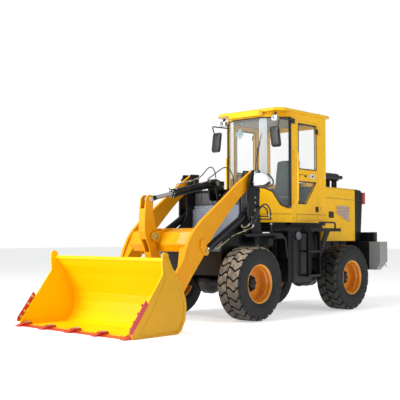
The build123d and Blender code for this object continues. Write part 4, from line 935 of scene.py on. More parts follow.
# zinc pipes above the barrel with their unions
bm = bmesh.new()
pipe_into(bm, [F(3232, 20, 1890), F(3240, 30, 1930), F(3262, 30, 1958), F(3225, 34, 1979), F(2930, 40, 2041)], 0.0080, 0.035, 14)
pipe_into(bm, [F(2930, 40, 2041), F(2840, 20, 2062), F(2780, -30, 2078), F(2700, -44, 2092)], 0.0080, 0.05, 14)
pipe_into(bm, [F(2510, 30, 2050), F(2518, 60, 2078), F(2560, 88, 2068), F(2600, 92, 2072), F(2625, 92, 2079)], 0.0080, 0.03, 14)
mesh_piece("tilt_pipes", bm, "zinc", "tilt_tube", slot="grey_paint")
bm = bmesh.new()
for p, q, r in ((F(2960, 39, 2035), F(2912, 38, 2046), 0.0150), (F(2712, -43, 2089), F(2682, -45, 2098), 0.0140), (F(2616, 92, 2076), F(2632, 92, 2080), 0.0140), (F(2507, 18, 2026), F(2511, 34, 2058), 0.0150), (F(3230, 14, 1876), F(3236, 26, 1912), 0.0160)):
    d = (Vector(q) - Vector(p))
    lathe_into(bm, [(r * 0.9, 0), (r, 0.003), (r, d.length - 0.003), (r * 0.9, d.length)], p, d, 6)
mesh_piece("tilt_pipe_nuts", bm, "brass", "tilt_tube", slot="grey_paint", angle=20)
bm = bmesh.new()
for d0 in (0.30, 0.62):
    c = t0 + tx * d0
    lathe_into(bm, [(0.0585, -0.012), (0.0612, -0.010), (0.0612, 0.010), (0.0585, 0.012)], c, tx, 48, ends=False)
prism_into(bm, rect(0.84, 0.872, 1.975, 2.052, 0.004), 0.026, 0.050)
mesh_piece("tilt_bands", bm, "black_fitting", "tilt_tube", slot="black_paint")
# hose crimps
HOSE_ENDS = [
    ("tilt_tube", (0.690, -0.045, 2.095), (0.660, -0.045, 2.110), 0.0115), ("tilt_tube", (0.292, -0.045, 2.085), (0.2905, -0.045, 2.125), 0.0115),
    ("front_frame", (0.630, 0.092, 2.080), (0.600, 0.092, 2.095), 0.0115), ("front_frame", (0.203, 0.092, 1.846), (0.163, 0.092, 1.849), 0.0115),
]
for s, side in both():
    HOSE_ENDS += [
        ("front_frame", (0.368, s * 0.740, 1.352), (0.345, s * 0.743, 1.388), 0.0140), ("front_frame", (-0.088, s * 0.735, 1.500), (-0.086, s * 0.736, 1.540), 0.0140),
        ("front_frame", (0.450, s * 0.728, 1.375), (0.420, s * 0.728, 1.402), 0.0140), ("front_frame", (-0.032, s * 0.722, 1.530), (-0.028, s * 0.723, 1.568), 0.0140),
    ]
for k, (body, p, q, r) in enumerate(HOSE_ENDS):
    d = Vector(q) - Vector(p)
    bm = bmesh.new()
    lathe_into(bm, [(r * 0.8, 0), (r, 0.002), (r, 0.008), (r * 0.93, 0.010), (r, 0.012), (r, 0.018), (r * 0.93, 0.020), (r, 0.022), (r, d.length - 0.003), (r * 0.82, d.length)], p, d, 20, ends=False)
    mesh_piece(f"crimp_{k}", bm, "zinc" if k > 3 else "steel", body, slot="grey_paint", angle=60)

# ------------------------------------------------------------------ headlights
for s, side in both():
    # the film-wrapped lamp: a rounded teardrop
    outline = [(0.738, 1.953), (0.760, 1.9505), (0.800, 1.9505), (0.930, 1.9590), (0.990, 1.976), (1.019, 2.008), (1.0195, 2.045), (0.995, 2.085), (0.940, 2.128), (0.880, 2.1485), (0.800, 2.1495), (0.762, 2.1470), (0.7365, 2.110), (0.7365, 2.030)]
    if s < 0:
        outline = [(-a, b) for a, b in outline]
    cx = sum(a for a, _ in outline) / len(outline)
    cz = sum(b for _, b in outline) / len(outline)
    layers = [(0.2755, 0.92), (0.2765, 0.99), (0.2800, 1.0), (0.3180, 1.0), (0.3360, 0.985), (0.3440, 0.93), (0.3485, 0.74), (0.3497, 0.42)]
    bm = bmesh.new()
    rings = []
    for x, k in layers:
        rings.append([bm.verts.new((x, cx + (a - cx) * k, cz + (b - cz) * k)) for a, b in outline])
    for a, b in zip(rings, rings[1:]):
        for i in range(len(a)):
            bm.faces.new((a[i], a[(i + 1) % len(a)], b[(i + 1) % len(a)], b[i]))
    bm.faces.new(rings[0])
    bm.faces.new(rings[-1])
    lamp = mesh_piece(f"lamp_body_{side}", bm, "lamp", None, angle=80)
    mod = lamp.modifiers.new("s", "SUBSURF")
    mod.levels = mod.render_levels = 2
    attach(lamp, "front_frame")
    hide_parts("headlights")
    # lower tray and the dark frame behind
    low = [(0.742, 1.9505), (0.945, 1.9555), (1.000, 1.982), (1.019, 2.010), (1.008, 2.012), (0.992, 1.992), (0.940, 1.972), (0.745, 1.964)]
    if s < 0:
        low = [(-a, b) for a, b in low]
    prism(f"lamp_tray_{side}", low, 0.2760, 0.3495, "plastic", "front_frame", "X", slot="black_plastic")
    prism(f"lamp_arm_{side}", rect(0.2885, 0.3435, 1.9855, 2.0495, 0.004), *sorted((s * 0.7130, s * 0.7480)), "black", "front_frame", slot="black_paint")
    bolts(f"lamp_bolts_{side}", [(F(2317, s * 716, 2058), (0, 0, 1)), (F(2344, s * 733, 2018), (1, 0, 0))], "steel", "front_frame", 0.007, 0.006)
    # lamp faces under the film
    bm = bmesh.new()
    for yy, rr, zz in ((0.818, 0.040, 2.050), (0.915, 0.034, 2.030)):
        lathe_into(bm, [(rr, 0.0), (rr, 0.006), (rr * 0.92, 0.0085), (rr * 0.86, 0.006), (rr * 0.5, 0.004), (0, 0.0035)], (0.3405, s * yy, zz), (1, 0, 0), 36)
    mesh_piece(f"lamp_faces_{side}", bm, "lamp", "front_frame", slot="black_plastic")

# ------------------------------------------------------------------ cab
def ring_into(bm, outline, w, lo, hi, axis="Y", mat=0):
    """A flat frame of width w inside an outline."""
    pts = [Vector(p) for p in outline]
    area = sum(a.x * b.y - b.x * a.y for a, b in zip(pts, pts[1:] + pts[:1]))
    if area < 0:
        pts.reverse()
    n = len(pts)
    ins = []
    for i in range(n):
        a, b, c = pts[i - 1], pts[i], pts[(i + 1) % n]
        d1, d2 = (b - a).normalized(), (c - b).normalized()
        n1, n2 = Vector((-d1.y, d1.x)), Vector((-d2.y, d2.x))
        k = n1 + n2
        q = k.dot(n1)
        ins.append(b + (k / q if abs(q) > 0.25 else n1) * w)

    def place(q, h):
        return (q[0], h, q[1]) if axis == "Y" else ((h, q[0], q[1]) if axis == "X" else (q[0], q[1], h))

    loops = [(pts, lo), (pts, hi), (ins, hi), (ins, lo)]
    rings = [[bm.verts.new(place(q, h)) for q in loop] for loop, h in loops]
    for a, b in zip(rings, rings[1:] + rings[:1]):
        for k in range(n):
            f = bm.faces.new((a[k], a[(k + 1) % n], b[(k + 1) % n], b[k]))
            f.material_index = mat


def ring(name, outline, w, lo, hi, mat, body, axis="Y", **kw):
    bm = bmesh.new()
    ring_into(bm, outline, w, lo, hi, axis)
    return mesh_piece(name, bm, mat, body, **kw)


def soften(outline, r, n=4):
    """Round the corners of an outline."""
    pts = [Vector(p) for p in outline]
    out = []
    for i in range(len(pts)):
        a, b, c = pts[i - 1], pts[i], pts[(i + 1) % len(pts)]
        d1, d2 = (a - b), (c - b)
        cut = min(r, d1.length * 0.4, d2.length * 0.4)
        p, q = b + d1.normalized() * cut, b + d2.normalized() * cut
        for k in range(n + 1):
            t = k / n
            out.append(tuple(p * (1 - t) ** 2 + b * 2 * t * (1 - t) + q * t * t))
    return out


UPPER = soften(mm([(572, 2295), (1092, 2295), (1092, 3040), (572, 3040)]), 0.03)
LOWER = soften(mm([(575, 2105), (1095, 2105), (1095, 1735), (885, 1735), (690, 1965)]), 0.03)
for s, side in both():
    leaf = f"door_{side}_leaf"
    out, inn = sorted((s * 0.6605, s * 0.6645)), sorted((s * 0.6190, s * 0.6240))
    bm = bmesh.new()
    for outline in (UPPER, LOWER):
        ring_into(bm, outline, 0.016, *out)
        ring_into(bm, outline, 0.016, *inn)
    mesh_piece(f"door_seals_{side}", bm, "plastic", leaf, slot="black_plastic")
    # pressed border of the door skin, one step down to the glass
    bm = bmesh.new()
    ring_into(bm, soften(mm([(548, 2120), (1122, 2120), (1122, 2282), (548, 2282)]), 0.01), 0.006, *sorted((s * 0.6603, s * 0.6622)))
    ring_into(bm, soften(mm([(560, 1505), (1118, 1505), (1118, 1566), (560, 1566)]), 0.008), 0.004, *sorted((s * 0.6603, s * 0.6620)))
    mesh_piece(f"door_press_{side}", bm, "cab_yellow", leaf, slot="yellow_paint")
    # painted shade: a thin dark strip along the crease where the lower skin folds
    prism(f"door_seam_{side}", mm([(534, 1571), (1140, 1571), (1140, 1577), (534, 1577)]), *sorted((s * 0.6600, s * 0.6607)), "dark_lining", leaf, slot="black_plastic")
    # lock plate with a blank keyhole, handle recess
    bm = bmesh.new()
    prism_into(bm, soften(mm([(632, 2156), (762, 2156), (762, 2232), (632, 2232)]), 0.008), *sorted((s * 0.6600, s * 0.6640)))
    mesh_piece(f"lock_plate_{side}", bm, "lamp", leaf, slot="grey_paint")
    bm = bmesh.new()
    lathe_into(bm, [(0.016, 0), (0.016, 0.006), (0.013, 0.009), (0.004, 0.009), (0, 0.007)], (-1.303, s * 0.664, 2.194), (0, s, 0), 28)
    prism_into(bm, soften(mm([(862, 2172), (1098, 2172), (1098, 2212), (862, 2212)]), 0.014), *sorted((s * 0.6600, s * 0.6625)))
    mesh_piece(f"door_latch_{side}", bm, "plastic", leaf, slot="black_plastic")
    # black hinge leaves on the door and hinge plates on the frame
    for k, z in enumerate((1662, 2938)):
        bm = bmesh.new()
        prism_into(bm, soften(mm([(545, z - 46), (612, z - 40), (612, z + 40), (545, z + 46)]), 0.008), *sorted((s * 0.6605, s * 0.6680)))
        hex_into(bm, F(590, s * 668, z - 24), (0, s, 0), 0.006, 0.005, False)
        hex_into(bm, F(590, s * 668, z + 24), (0, s, 0), 0.006, 0.005, False)
        mesh_piece(f"hinge_leaf_{side}_{k}", bm, "plastic", leaf, slot="black_plastic", angle=25)
        prism(f"hinge_plate_{side}_{k}", soften(mm([(462, z - 46), (512, z - 40), (512, z + 40), (462, z + 46)]), 0.008), *sorted((s * 0.6600, s * 0.6665)), "orange", "rear_frame", slot="black_plastic")
    # inside trim of the door
    bm = bmesh.new()
    ring_into(bm, soften(mm([(590, 2125), (1085, 2125), (1085, 2275), (590, 2275)]), 0.02), 0.03, *sorted((s * 0.6130, s * 0.6215)))
    mesh_piece(f"door_trim_{side}", bm, "dark_lining", leaf, slot="black_plastic")
    # painted shade: a thin dark strip along the crease of the nose and the sill
    pts = [(1282, 660.6, 1574), (1500, 440.6, 1574), (1590, 280, 1574)]
    bm = bmesh.new()
    for a, b in zip(pts, pts[1:]):
        d = Vector((b[0] - a[0], b[1] - a[1], 0)).normalized()
        nrm = Vector((d.y, -d.x, 0)) * (1 if d.y * 1 < 0 else -1)
        nrm = Vector((-d.y, d.x, 0)) if Vector((-d.y, d.x, 0)).x > 0 else Vector((d.y, -d.x, 0))
        q = [Vector((a[0], a[1], 1571)), Vector((b[0], b[1], 1571)), Vector((b[0], b[1], 1577)), Vector((a[0], a[1], 1577))]
        vs_ = [bm.verts.new(F(p.x + nrm.x * e, s * (p.y + nrm.y * e), p.z)) for e in (-0.5, 0.9) for p in q]
        for f in ((0, 1, 2, 3), (4, 7, 6, 5), (0, 4, 5, 1), (1, 5, 6, 2), (2, 6, 7, 3), (3, 7, 4, 0)):
            bm.faces.new([vs_[i] for i in f])
    mesh_piece(f"nose_seam_{side}", bm, "dark_lining", "rear_frame", slot="black_plastic")
    # pillar seals beside the corner pane and along the sill, round rubber section
    bm = bmesh.new()
    sill = [F(1284, s * 658, 3106), F(1284, s * 658, 1652), F(1400, s * 541, 1716), F(1494, s * 447, 1928), F(1558, s * 338, 1984), F(1592, s * 276, 1994), F(1592, s * 100, 1996), F(1592, 0, 1996)]
    pipe_into(bm, sill, 0.009, 0.05, 10)
    pipe_into(bm, [F(1284, s * 658, 3106), F(1500, s * 442, 3108), F(1592, s * 278, 3108), F(1592, 0, 3108)], 0.009, 0.02, 10)
    mesh_piece(f"screen_seal_{side}", bm, "plastic", "rear_frame", slot="black_plastic")
    # dark band on the corner pane's rear edge
    a, b = Vector((1282.0, 659.5)), Vector((1312.0, 629.5))
    bm = bmesh.new()
    o_ = Vector((0.7, 0.7)) * 1.6
    v = [bm.verts.new(F(p.x + o_.x * e, s * (p.y + o_.y * e), z)) for e in (0.3, 1.4) for p, z in ((a, 1690), (b, 1690), (b, 3100), (a, 3100))]
    for f in ((0, 1, 2, 3), (4, 7, 6, 5), (0, 4, 5, 1), (1, 5, 6, 2), (2, 6, 7, 3), (3, 7, 4, 0)):
        bm.faces.new([v[i] for i in f])
    mesh_piece(f"pillar_band_{side}", bm, "plastic", "rear_frame", slot="black_plastic")
    # tinted bent strip at the screen's corner
    a, b = Vector((1594.0, 262.0)), Vector((1536.0, 380.0))
    nrm = Vector((b.y - a.y, a.x - b.x)).normalized()
    bm = bmesh.new()
    rows = []
    for z, k0, k1 in ((2165, 0.06, 0.94), (2180, 0.0, 1.0), (3040, 0.0, 1.0), (3075, 0.06, 0.94), (3094, 0.2, 0.8)):
        row = []
        for k in (0, 0.25, 0.5, 0.75, 1.0):
            t = k0 + (k1 - k0) * k
            p = a.lerp(b, t) + nrm * (2.0 + 5.0 * math.sin(math.pi * t))
            row.append(bm.verts.new(F(p.x, s * p.y, z)))
        rows.append(row)
    for r0, r1 in zip(rows, rows[1:]):
        for k in range(4):
            bm.faces.new((r0[k], r0[k + 1], r1[k + 1], r1[k]))
    mesh_piece(f"corner_tint_{side}", bm, "glass_edge", "rear_frame", slot="cab_glass")
    # work lamp: silver shell, bezel, lens, bracket
    y0, y1 = s * 0.476, s * 0.588
    lo_, hi_ = sorted((y0, y1))
    bm = bmesh.new()
    layers = [(-0.519, 0.62), (-0.508, 0.84), (-0.484, 0.97), (-0.4430, 1.0), (-0.4410, 0.94)]
    base = rect(lo_, hi_, 3.040, 3.130, 0.02, 5)
    cy, cz = (lo_ + hi_) / 2, 3.085
    rings = [[bm.verts.new((x, cy + (p[0] - cy) * k, cz + (p[1] - cz) * k)) for p in base] for x, k in layers]
    for r0, r1 in zip(rings, rings[1:]):
        for k in range(len(r0)):
            bm.faces.new((r0[k], r0[(k + 1) % len(r0)], r1[(k + 1) % len(r0)], r1[k]))
    bm.faces.new(rings[0])
    bm.faces.new(rings[-1])
    lampo = mesh_piece(f"work_lamp_{side}", bm, "zinc", "rear_frame", slot="black_paint")
    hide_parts("cab_lamps")
    bm = bmesh.new()
    ring_into(bm, rect(lo_ + 0.002, hi_ - 0.002, 3.042, 3.128, 0.02, 5), 0.010, -0.4425, -0.4402, "X")
    mesh_piece(f"work_lamp_bezel_{side}", bm, "chrome", "rear_frame", slot="black_paint")
    bm = bmesh.new()
    prism_into(bm, rect(lo_ + 0.011, hi_ - 0.011, 3.051, 3.119, 0.014, 5), -0.4430, -0.4412, "X")
    lathe_into(bm, [(0.024, 0), (0.024, 0.0006), (0.019, 0.0009), (0, 0.0009)], (-0.4413, cy, 3.085), (1, 0, 0), 28)
    mesh_piece(f"work_lamp_lens_{side}", bm, "mirror_face", "rear_frame", slot="cab_glass")
    bm = bmesh.new()
    prism_into(bm, [(-0.500, 3.120), (-0.460, 3.120), (-0.460, 3.1798), (-0.500, 3.1798)], cy - 0.012, cy + 0.012)
    pipe_into(bm, [(-0.480, cy - 0.015, 3.150), (-0.480, cy + 0.015, 3.150)], 0.008, 0.01, 12)
    mesh_piece(f"work_lamp_bracket_{side}", bm, "black_fitting", "rear_frame", slot="black_paint")
    # mirror: shell rim and the reflecting face towards the driver, stay arm
    bm = bmesh.new()

    def tilted(points):
        """Rectangle points (Y, Z) leant so that the lower end stands further out."""
        return [(yy - s * 0.1212 * (zz - 2.774), zz) for yy, zz in points]

    m0, m1 = sorted((s * 0.5165, s * 0.6995))
    base = tilted(rect(m0 + 0.001, m1 - 0.001, 2.611, 2.937, 0.040, 6))
    cy, cz = (m0 + m1) / 2, 2.774
    rings = [[bm.verts.new((x, cy + (p[0] - cy) * k, cz + (p[1] - cz) * k)) for p in base] for x, k in ((-0.3915, 0.955), (-0.3870, 0.995), (-0.3740, 0.995), (-0.3600, 0.945), (-0.3500, 0.80), (-0.3460, 0.55))]
    for r0, r1 in zip(rings, rings[1:]):
        for k in range(len(r0)):
            bm.faces.new((r0[k], r0[(k + 1) % len(r0)], r1[(k + 1) % len(r0)], r1[k]))
    bm.faces.new(rings[0])
    bm.faces.new(rings[-1])
    pipe_into(bm, [F(1231, s * 668, 3060), F(1231, s * 700, 3060), F(1631, s * 700, 3050), F(1631, s * 632, 2850)], 0.0105, 0.04, 14)
    prism_into(bm, mm([(1191, 3011), (1274, 3011), (1274, 3094), (1191, 3094)]), *sorted((s * 0.6605, s * 0.6755)), "Y", 0, 0.003)
    for z_ in (3.030, 3.075):
        hex_into(bm, (-0.752, s * 0.6755, z_), (0, s, 0), 0.007, 0.005)
    head = mesh_piece(f"mirror_shell_{side}", bm, "plastic", "rear_frame", slot="black_paint", angle=50)
    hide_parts("mirrors")
    prism(f"mirror_face_{side}", tilted(rect(m0 + 0.012, m1 - 0.012, 2.622, 2.926, 0.032, 5)), -0.3919, -0.3912, "mirror_face", "rear_frame", "X", 0.0002, slot="cab_glass")
    bm = bmesh.new()
    lathe_into(bm, [(0.017, -0.020), (0.017, 0.020)], (-0.369, s * 0.634, 2.856), (0, 0, 1), 18)
    mesh_piece(f"mirror_clamp_{side}", bm, "black_fitting", "rear_frame", slot="black_paint")
    # rail feet with bolts
    bolts(f"rail_bolts_{side}", [(F(1215, s * 742, z), (0, s, 0)) for z in ()] + [(F(1248, s * 660.5, z), (0, s, 0)) for z in (1700, 2620)], "steel", "rear_frame", 0.008, 0.006)
    # painted shade along the sill crease, and the dark seam behind the door
    bm = bmesh.new()
    prism_into(bm, mm([(305, 1571), (520, 1571), (520, 1577), (305, 1577)]), *sorted((s * 0.6595, s * 0.6607)))
    prism_into(bm, mm([(880, 1452), (884, 1452), (884, 1476), (880, 1476)]), *sorted((s * 0.6595, s * 0.6607)))
    mesh_piece(f"sill_seam_{side}", bm, "dark_lining", "rear_frame", slot="black_plastic")
    # black lower skirt between the cab and the platform
    prism(f"skirt_{side}", mm([(310, 1400), (1285, 1400), (1285, 1441), (310, 1441)]), *sorted((s * 0.640, s * 0.652)), "black", "rear_frame", slot="black_paint")

# headliner and inner linings
bm = bmesh.new()
plan = [(345, 618), (1275, 618), (1480, 415), (1555, 260), (1555, -260), (1480, -415), (1275, -618), (345, -618)]
inner = [(x_ - 2000, y_) for x_, y_ in plan]
rows = []
for z, k in ((3.128, 1.0), (3.122, 1.0), (3.108, 0.985), (3.102, 0.93), (3.100, 0.6), (3.100, 0.2)):
    rows.append([bm.verts.new(((-1.05 + (x_ / 1000 + 1.05) * k), y_ / 1000 * k, z)) for x_, y_ in inner])
for a, b in zip(rows, rows[1:]):
    for k in range(len(a)):
        bm.faces.new((a[k], a[(k + 1) % len(a)], b[(k + 1) % len(a)], b[k]))
bm.faces.new(rows[0])
bm.faces.new(rows[-1])
mesh_piece("headliner", bm, "lining", "rear_frame", slot="black_plastic")
bm = bmesh.new()
prism_into(bm, rect(-0.600, 0.600, 1.475, 2.060, 0.03), -1.662, -1.650, "X", 0, 0.004)
for k in range(9):
    prism_into(bm, rect(-0.55, 0.55, 1.54 + 0.055 * k, 1.555 + 0.055 * k, 0.006), -1.651, -1.645, "X")
mesh_piece("rear_lining", bm, "dark_lining", "rear_frame", slot="black_plastic")
bm = bmesh.new()
prism_into(bm, [(-1.64, -0.60), (-0.74, -0.60), (-0.54, -0.40), (-0.47, -0.25), (-0.47, 0.25), (-0.54, 0.40), (-0.74, 0.60), (-1.64, 0.60)], 1.4705, 1.4780, "Z", 0, 0.003)
for k in range(16):
    prism_into(bm, rect(-1.20 + 0.04 * k, -1.185 + 0.04 * k, -0.45, 0.45), 1.4775, 1.4800, "Z", 0, 0.0008)
mesh_piece("floor_mat", bm, "dark_lining", "rear_frame", slot="black_plastic")
# wiper: arm, blade, parallel rod and spindle cover
bm = bmesh.new()
pipe_into(bm, [(-0.402, 0.190, 2.150), (-0.396, 0.196, 2.160), (-0.3945, 0.206, 2.350), (-0.3945, 0.238, 2.600)], 0.0055, 0.02, 10)
pipe_into(bm, [(-0.402, 0.225, 2.150), (-0.397, 0.228, 2.160), (-0.3965, 0.240, 2.394), (-0.3965, 0.255, 2.598)], 0.0035, 0.02, 10)
prism_into(bm, [(0.192, 2.346), (0.200, 2.344), (0.312, 2.850), (0.304, 2.852)], -0.4035, -0.3965, "X", 0, 0.0015)
prism_into(bm, [(0.203, 2.425), (0.222, 2.421), (0.286, 2.725), (0.268, 2.729)], -0.3985, -0.3945, "X", 0, 0.0015)
prism_into(bm, rect(0.222, 0.262, 2.580, 2.628, 0.01), -0.3975, -0.3925, "X")
lathe_into(bm, [(0.020, -0.012), (0.020, 0.006), (0.015, 0.010), (0, 0.011)], (-0.402, 0.190, 2.150), (1, 0, 0), 24)
lathe_into(bm, [(0.014, -0.010), (0.014, 0.004), (0.010, 0.007), (0, 0.008)], (-0.402, 0.225, 2.150), (1, 0, 0), 24)
mesh_piece("wiper", bm, "black_fitting", "rear_frame", slot="black_plastic")
# cab fan: cage of rings and spokes, blades, motor and stalk
fc = Vector((-0.580, -0.282, 2.905))
fn, fu, fv = axes_for((1, 0.1, -0.12))
bm = bmesh.new()
for r in (0.028, 0.048, 0.066, 0.082):
    for off in (-0.022, 0.022):
        k = 1.0 - abs(r - 0.05) * 0
        pts = [fc + fn * off * (1.15 - r * 3) + (fu * math.cos(2 * math.pi * i / 28) + fv * math.sin(2 * math.pi * i / 28)) * r for i in range(29)]
        pipe_into(bm, pts, 0.0016, 0.0, 6)
for i in range(18):
    a = 2 * math.pi * i / 18
    d = fu * math.cos(a) + fv * math.sin(a)
    pipe_into(bm, [fc + fn * 0.026 + d * 0.012, fc + fn * 0.022 + d * 0.06, fc + fn * 0.010 + d * 0.084, fc - fn * 0.010 + d * 0.084, fc - fn * 0.022 + d * 0.06, fc - fn * 0.026 + d * 0.012], 0.0013, 0.01, 6, steps=3)
for i in range(4):
    a0 = 2 * math.pi * i / 4
    rows = []
    for r in (0.014, 0.035, 0.058, 0.074):
        w = 0.55 * math.sin(math.pi * (r + 0.01) / 0.11)
        rows.append([bm.verts.new(fc + fn * (0.012 * (k - 0.5)) + (fu * math.cos(a0 + w * (k - 0.5) * 1.9) + fv * math.sin(a0 + w * (k - 0.5) * 1.9)) * r) for k in (0, 0.33, 0.66, 1)])
    for r0, r1 in zip(rows, rows[1:]):
        for k in range(3):
            bm.faces.new((r0[k], r0[k + 1], r1[k + 1], r1[k]))
lathe_into(bm, [(0.006, -0.062), (0.020, -0.058), (0.024, -0.040), (0.024, -0.006), (0.012, 0.006), (0.010, 0.024), (0, 0.028)], fc, fn, 24)
pipe_into(bm, [fc - fn * 0.045, fc - fn * 0.05 + Vector((0, 0, 0.09)), (-0.64, -0.29, 3.098)], 0.006, 0.03, 10)
lathe_into(bm, [(0.026, 0), (0.026, 0.004), (0.018, 0.010), (0.008, 0.014)], (-0.64, -0.29, 3.100), (0, 0, -1), 24)
mesh_piece("cab_fan", bm, "fan", "rear_frame", slot="black_plastic", angle=50)
# the sun visor roll
bm = bmesh.new()
pipe_into(bm, [(-0.48, -0.30, 3.075), (-0.48, 0.30, 3.075)], 0.014, 0.0, 14)
pipe_into(bm, [(-0.48, -0.30, 3.098), (-0.48, -0.30, 3.070)], 0.005, 0.0, 8)
pipe_into(bm, [(-0.48, 0.30, 3.098), (-0.48, 0.30, 3.070)], 0.005, 0.0, 8)
mesh_piece("visor_roll", bm, "plastic_grey", "rear_frame", slot="black_plastic")
# steering column with its boot, and the hub cap
wc, wn = Vector(F(1197, 0, 2146)), Vector((-0.190, 0, 0.230)).normalized()
bm = bmesh.new()
lathe_into(bm, [(0.048, -0.40), (0.046, -0.34), (0.038, -0.33), (0.038, -0.30), (0.044, -0.29), (0.036, -0.275), (0.042, -0.262), (0.034, -0.25), (0.034, -0.10), (0.042, -0.08), (0.042, -0.035), (0.030, -0.025)], wc, wn, 36)
mesh_piece("steering_column", bm, "plastic", "rear_frame", slot="black_plastic")
bm = bmesh.new()
lathe_into(bm, [(0.045, -0.022), (0.052, -0.010), (0.048, 0.006), (0.034, 0.012), (0.030, 0.009), (0, 0.010)], wc, wn, 36)
mesh_piece("wheel_hub_cap", bm, "plastic", "rear_frame", slot="black_plastic")
# spinner knob
ka = axes_for(wn)
kp = wc + ka[1] * 0.19 + wn * 0.012
lathe("spinner_knob", [(0.008, 0), (0.008, 0.018), (0.020, 0.026), (0.024, 0.042), (0.020, 0.056), (0.010, 0.061), (0, 0.062)], kp, wn, "plastic", "rear_frame", 28, slot="black_plastic")
# control levers, pedals, dials without figures
bm = bmesh.new()
for k, (x, y) in enumerate(((-0.95, -0.33), (-0.88, -0.33), (-0.80, 0.20))):
    lathe_into(bm, [(0.045, 0), (0.040, 0.014), (0.030, 0.018), (0.034, 0.030), (0.022, 0.036), (0.026, 0.048), (0.012, 0.056)], (x, y, 1.700 if k < 2 else 1.478), (0, 0, 1), 24)
    top_ = 2.02 if k < 2 else 1.80
    pipe_into(bm, [(x, y, 1.72 if k < 2 else 1.50), (x + 0.01, y, top_ - 0.10), (x + 0.03, y, top_)], 0.007, 0.04, 10)
    lathe_into(bm, [(0.008, -0.004), (0.020, 0.006), (0.024, 0.026), (0.019, 0.046), (0.008, 0.056), (0, 0.058)], (x + 0.03, y, top_), (0.1, 0, 1), 24)
mesh_piece("levers", bm, "plastic", "rear_frame", slot="black_plastic")
bm = bmesh.new()
prism_into(bm, soften([(-1.06, 1.478), (-0.78, 1.478), (-0.76, 1.62), (-0.80, 1.702), (-1.04, 1.702), (-1.08, 1.60)], 0.02), -0.40, -0.27, "Y", 0, 0.008)
mesh_piece("lever_console", bm, "dark_lining", "rear_frame", slot="black_plastic")
bm = bmesh.new()
for y in (-0.20, 0.12, 0.26):
    prism_into(bm, [(-0.640, 1.560), (-0.630, 1.556), (-0.590, 1.640), (-0.600, 1.645)], y - 0.04, y + 0.04, "Y", 0, 0.002)
    pipe_into(bm, [(-0.615, y, 1.60), (-0.58, y, 1.56), (-0.53, y, 1.50)], 0.006, 0.03, 8)
mesh_piece("pedals", bm, "black_fitting", "rear_frame", slot="black_plastic")
dash_lo, dash_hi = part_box("dashboard")
bm = bmesh.new()
for k, y in enumerate((-0.15, -0.05, 0.05, 0.15)):
    lathe_into(bm, [(0.034, -0.004), (0.034, 0.006), (0.030, 0.009), (0.028, 0.004), (0, 0.004)], (dash_lo.x + 0.03, y, dash_hi.z - 0.045), (-0.75, 0, 0.66), 28)
mesh_piece("dials", bm, "plastic", "rear_frame", slot="black_plastic")

# roof: pressed panel
rlo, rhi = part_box("cab_roof")
bm = bmesh.new()
prism_into(bm, soften([(-1.66, -0.56), (-0.80, -0.56), (-0.60, -0.36), (-0.50, -0.2), (-0.50, 0.2), (-0.60, 0.36), (-0.80, 0.56), (-1.66, 0.56)], 0.06), 3.2440, 3.2520, "Z", 0, 0.004)
mesh_piece("roof_press", bm, "cab_yellow", "rear_frame", slot="yellow_paint")

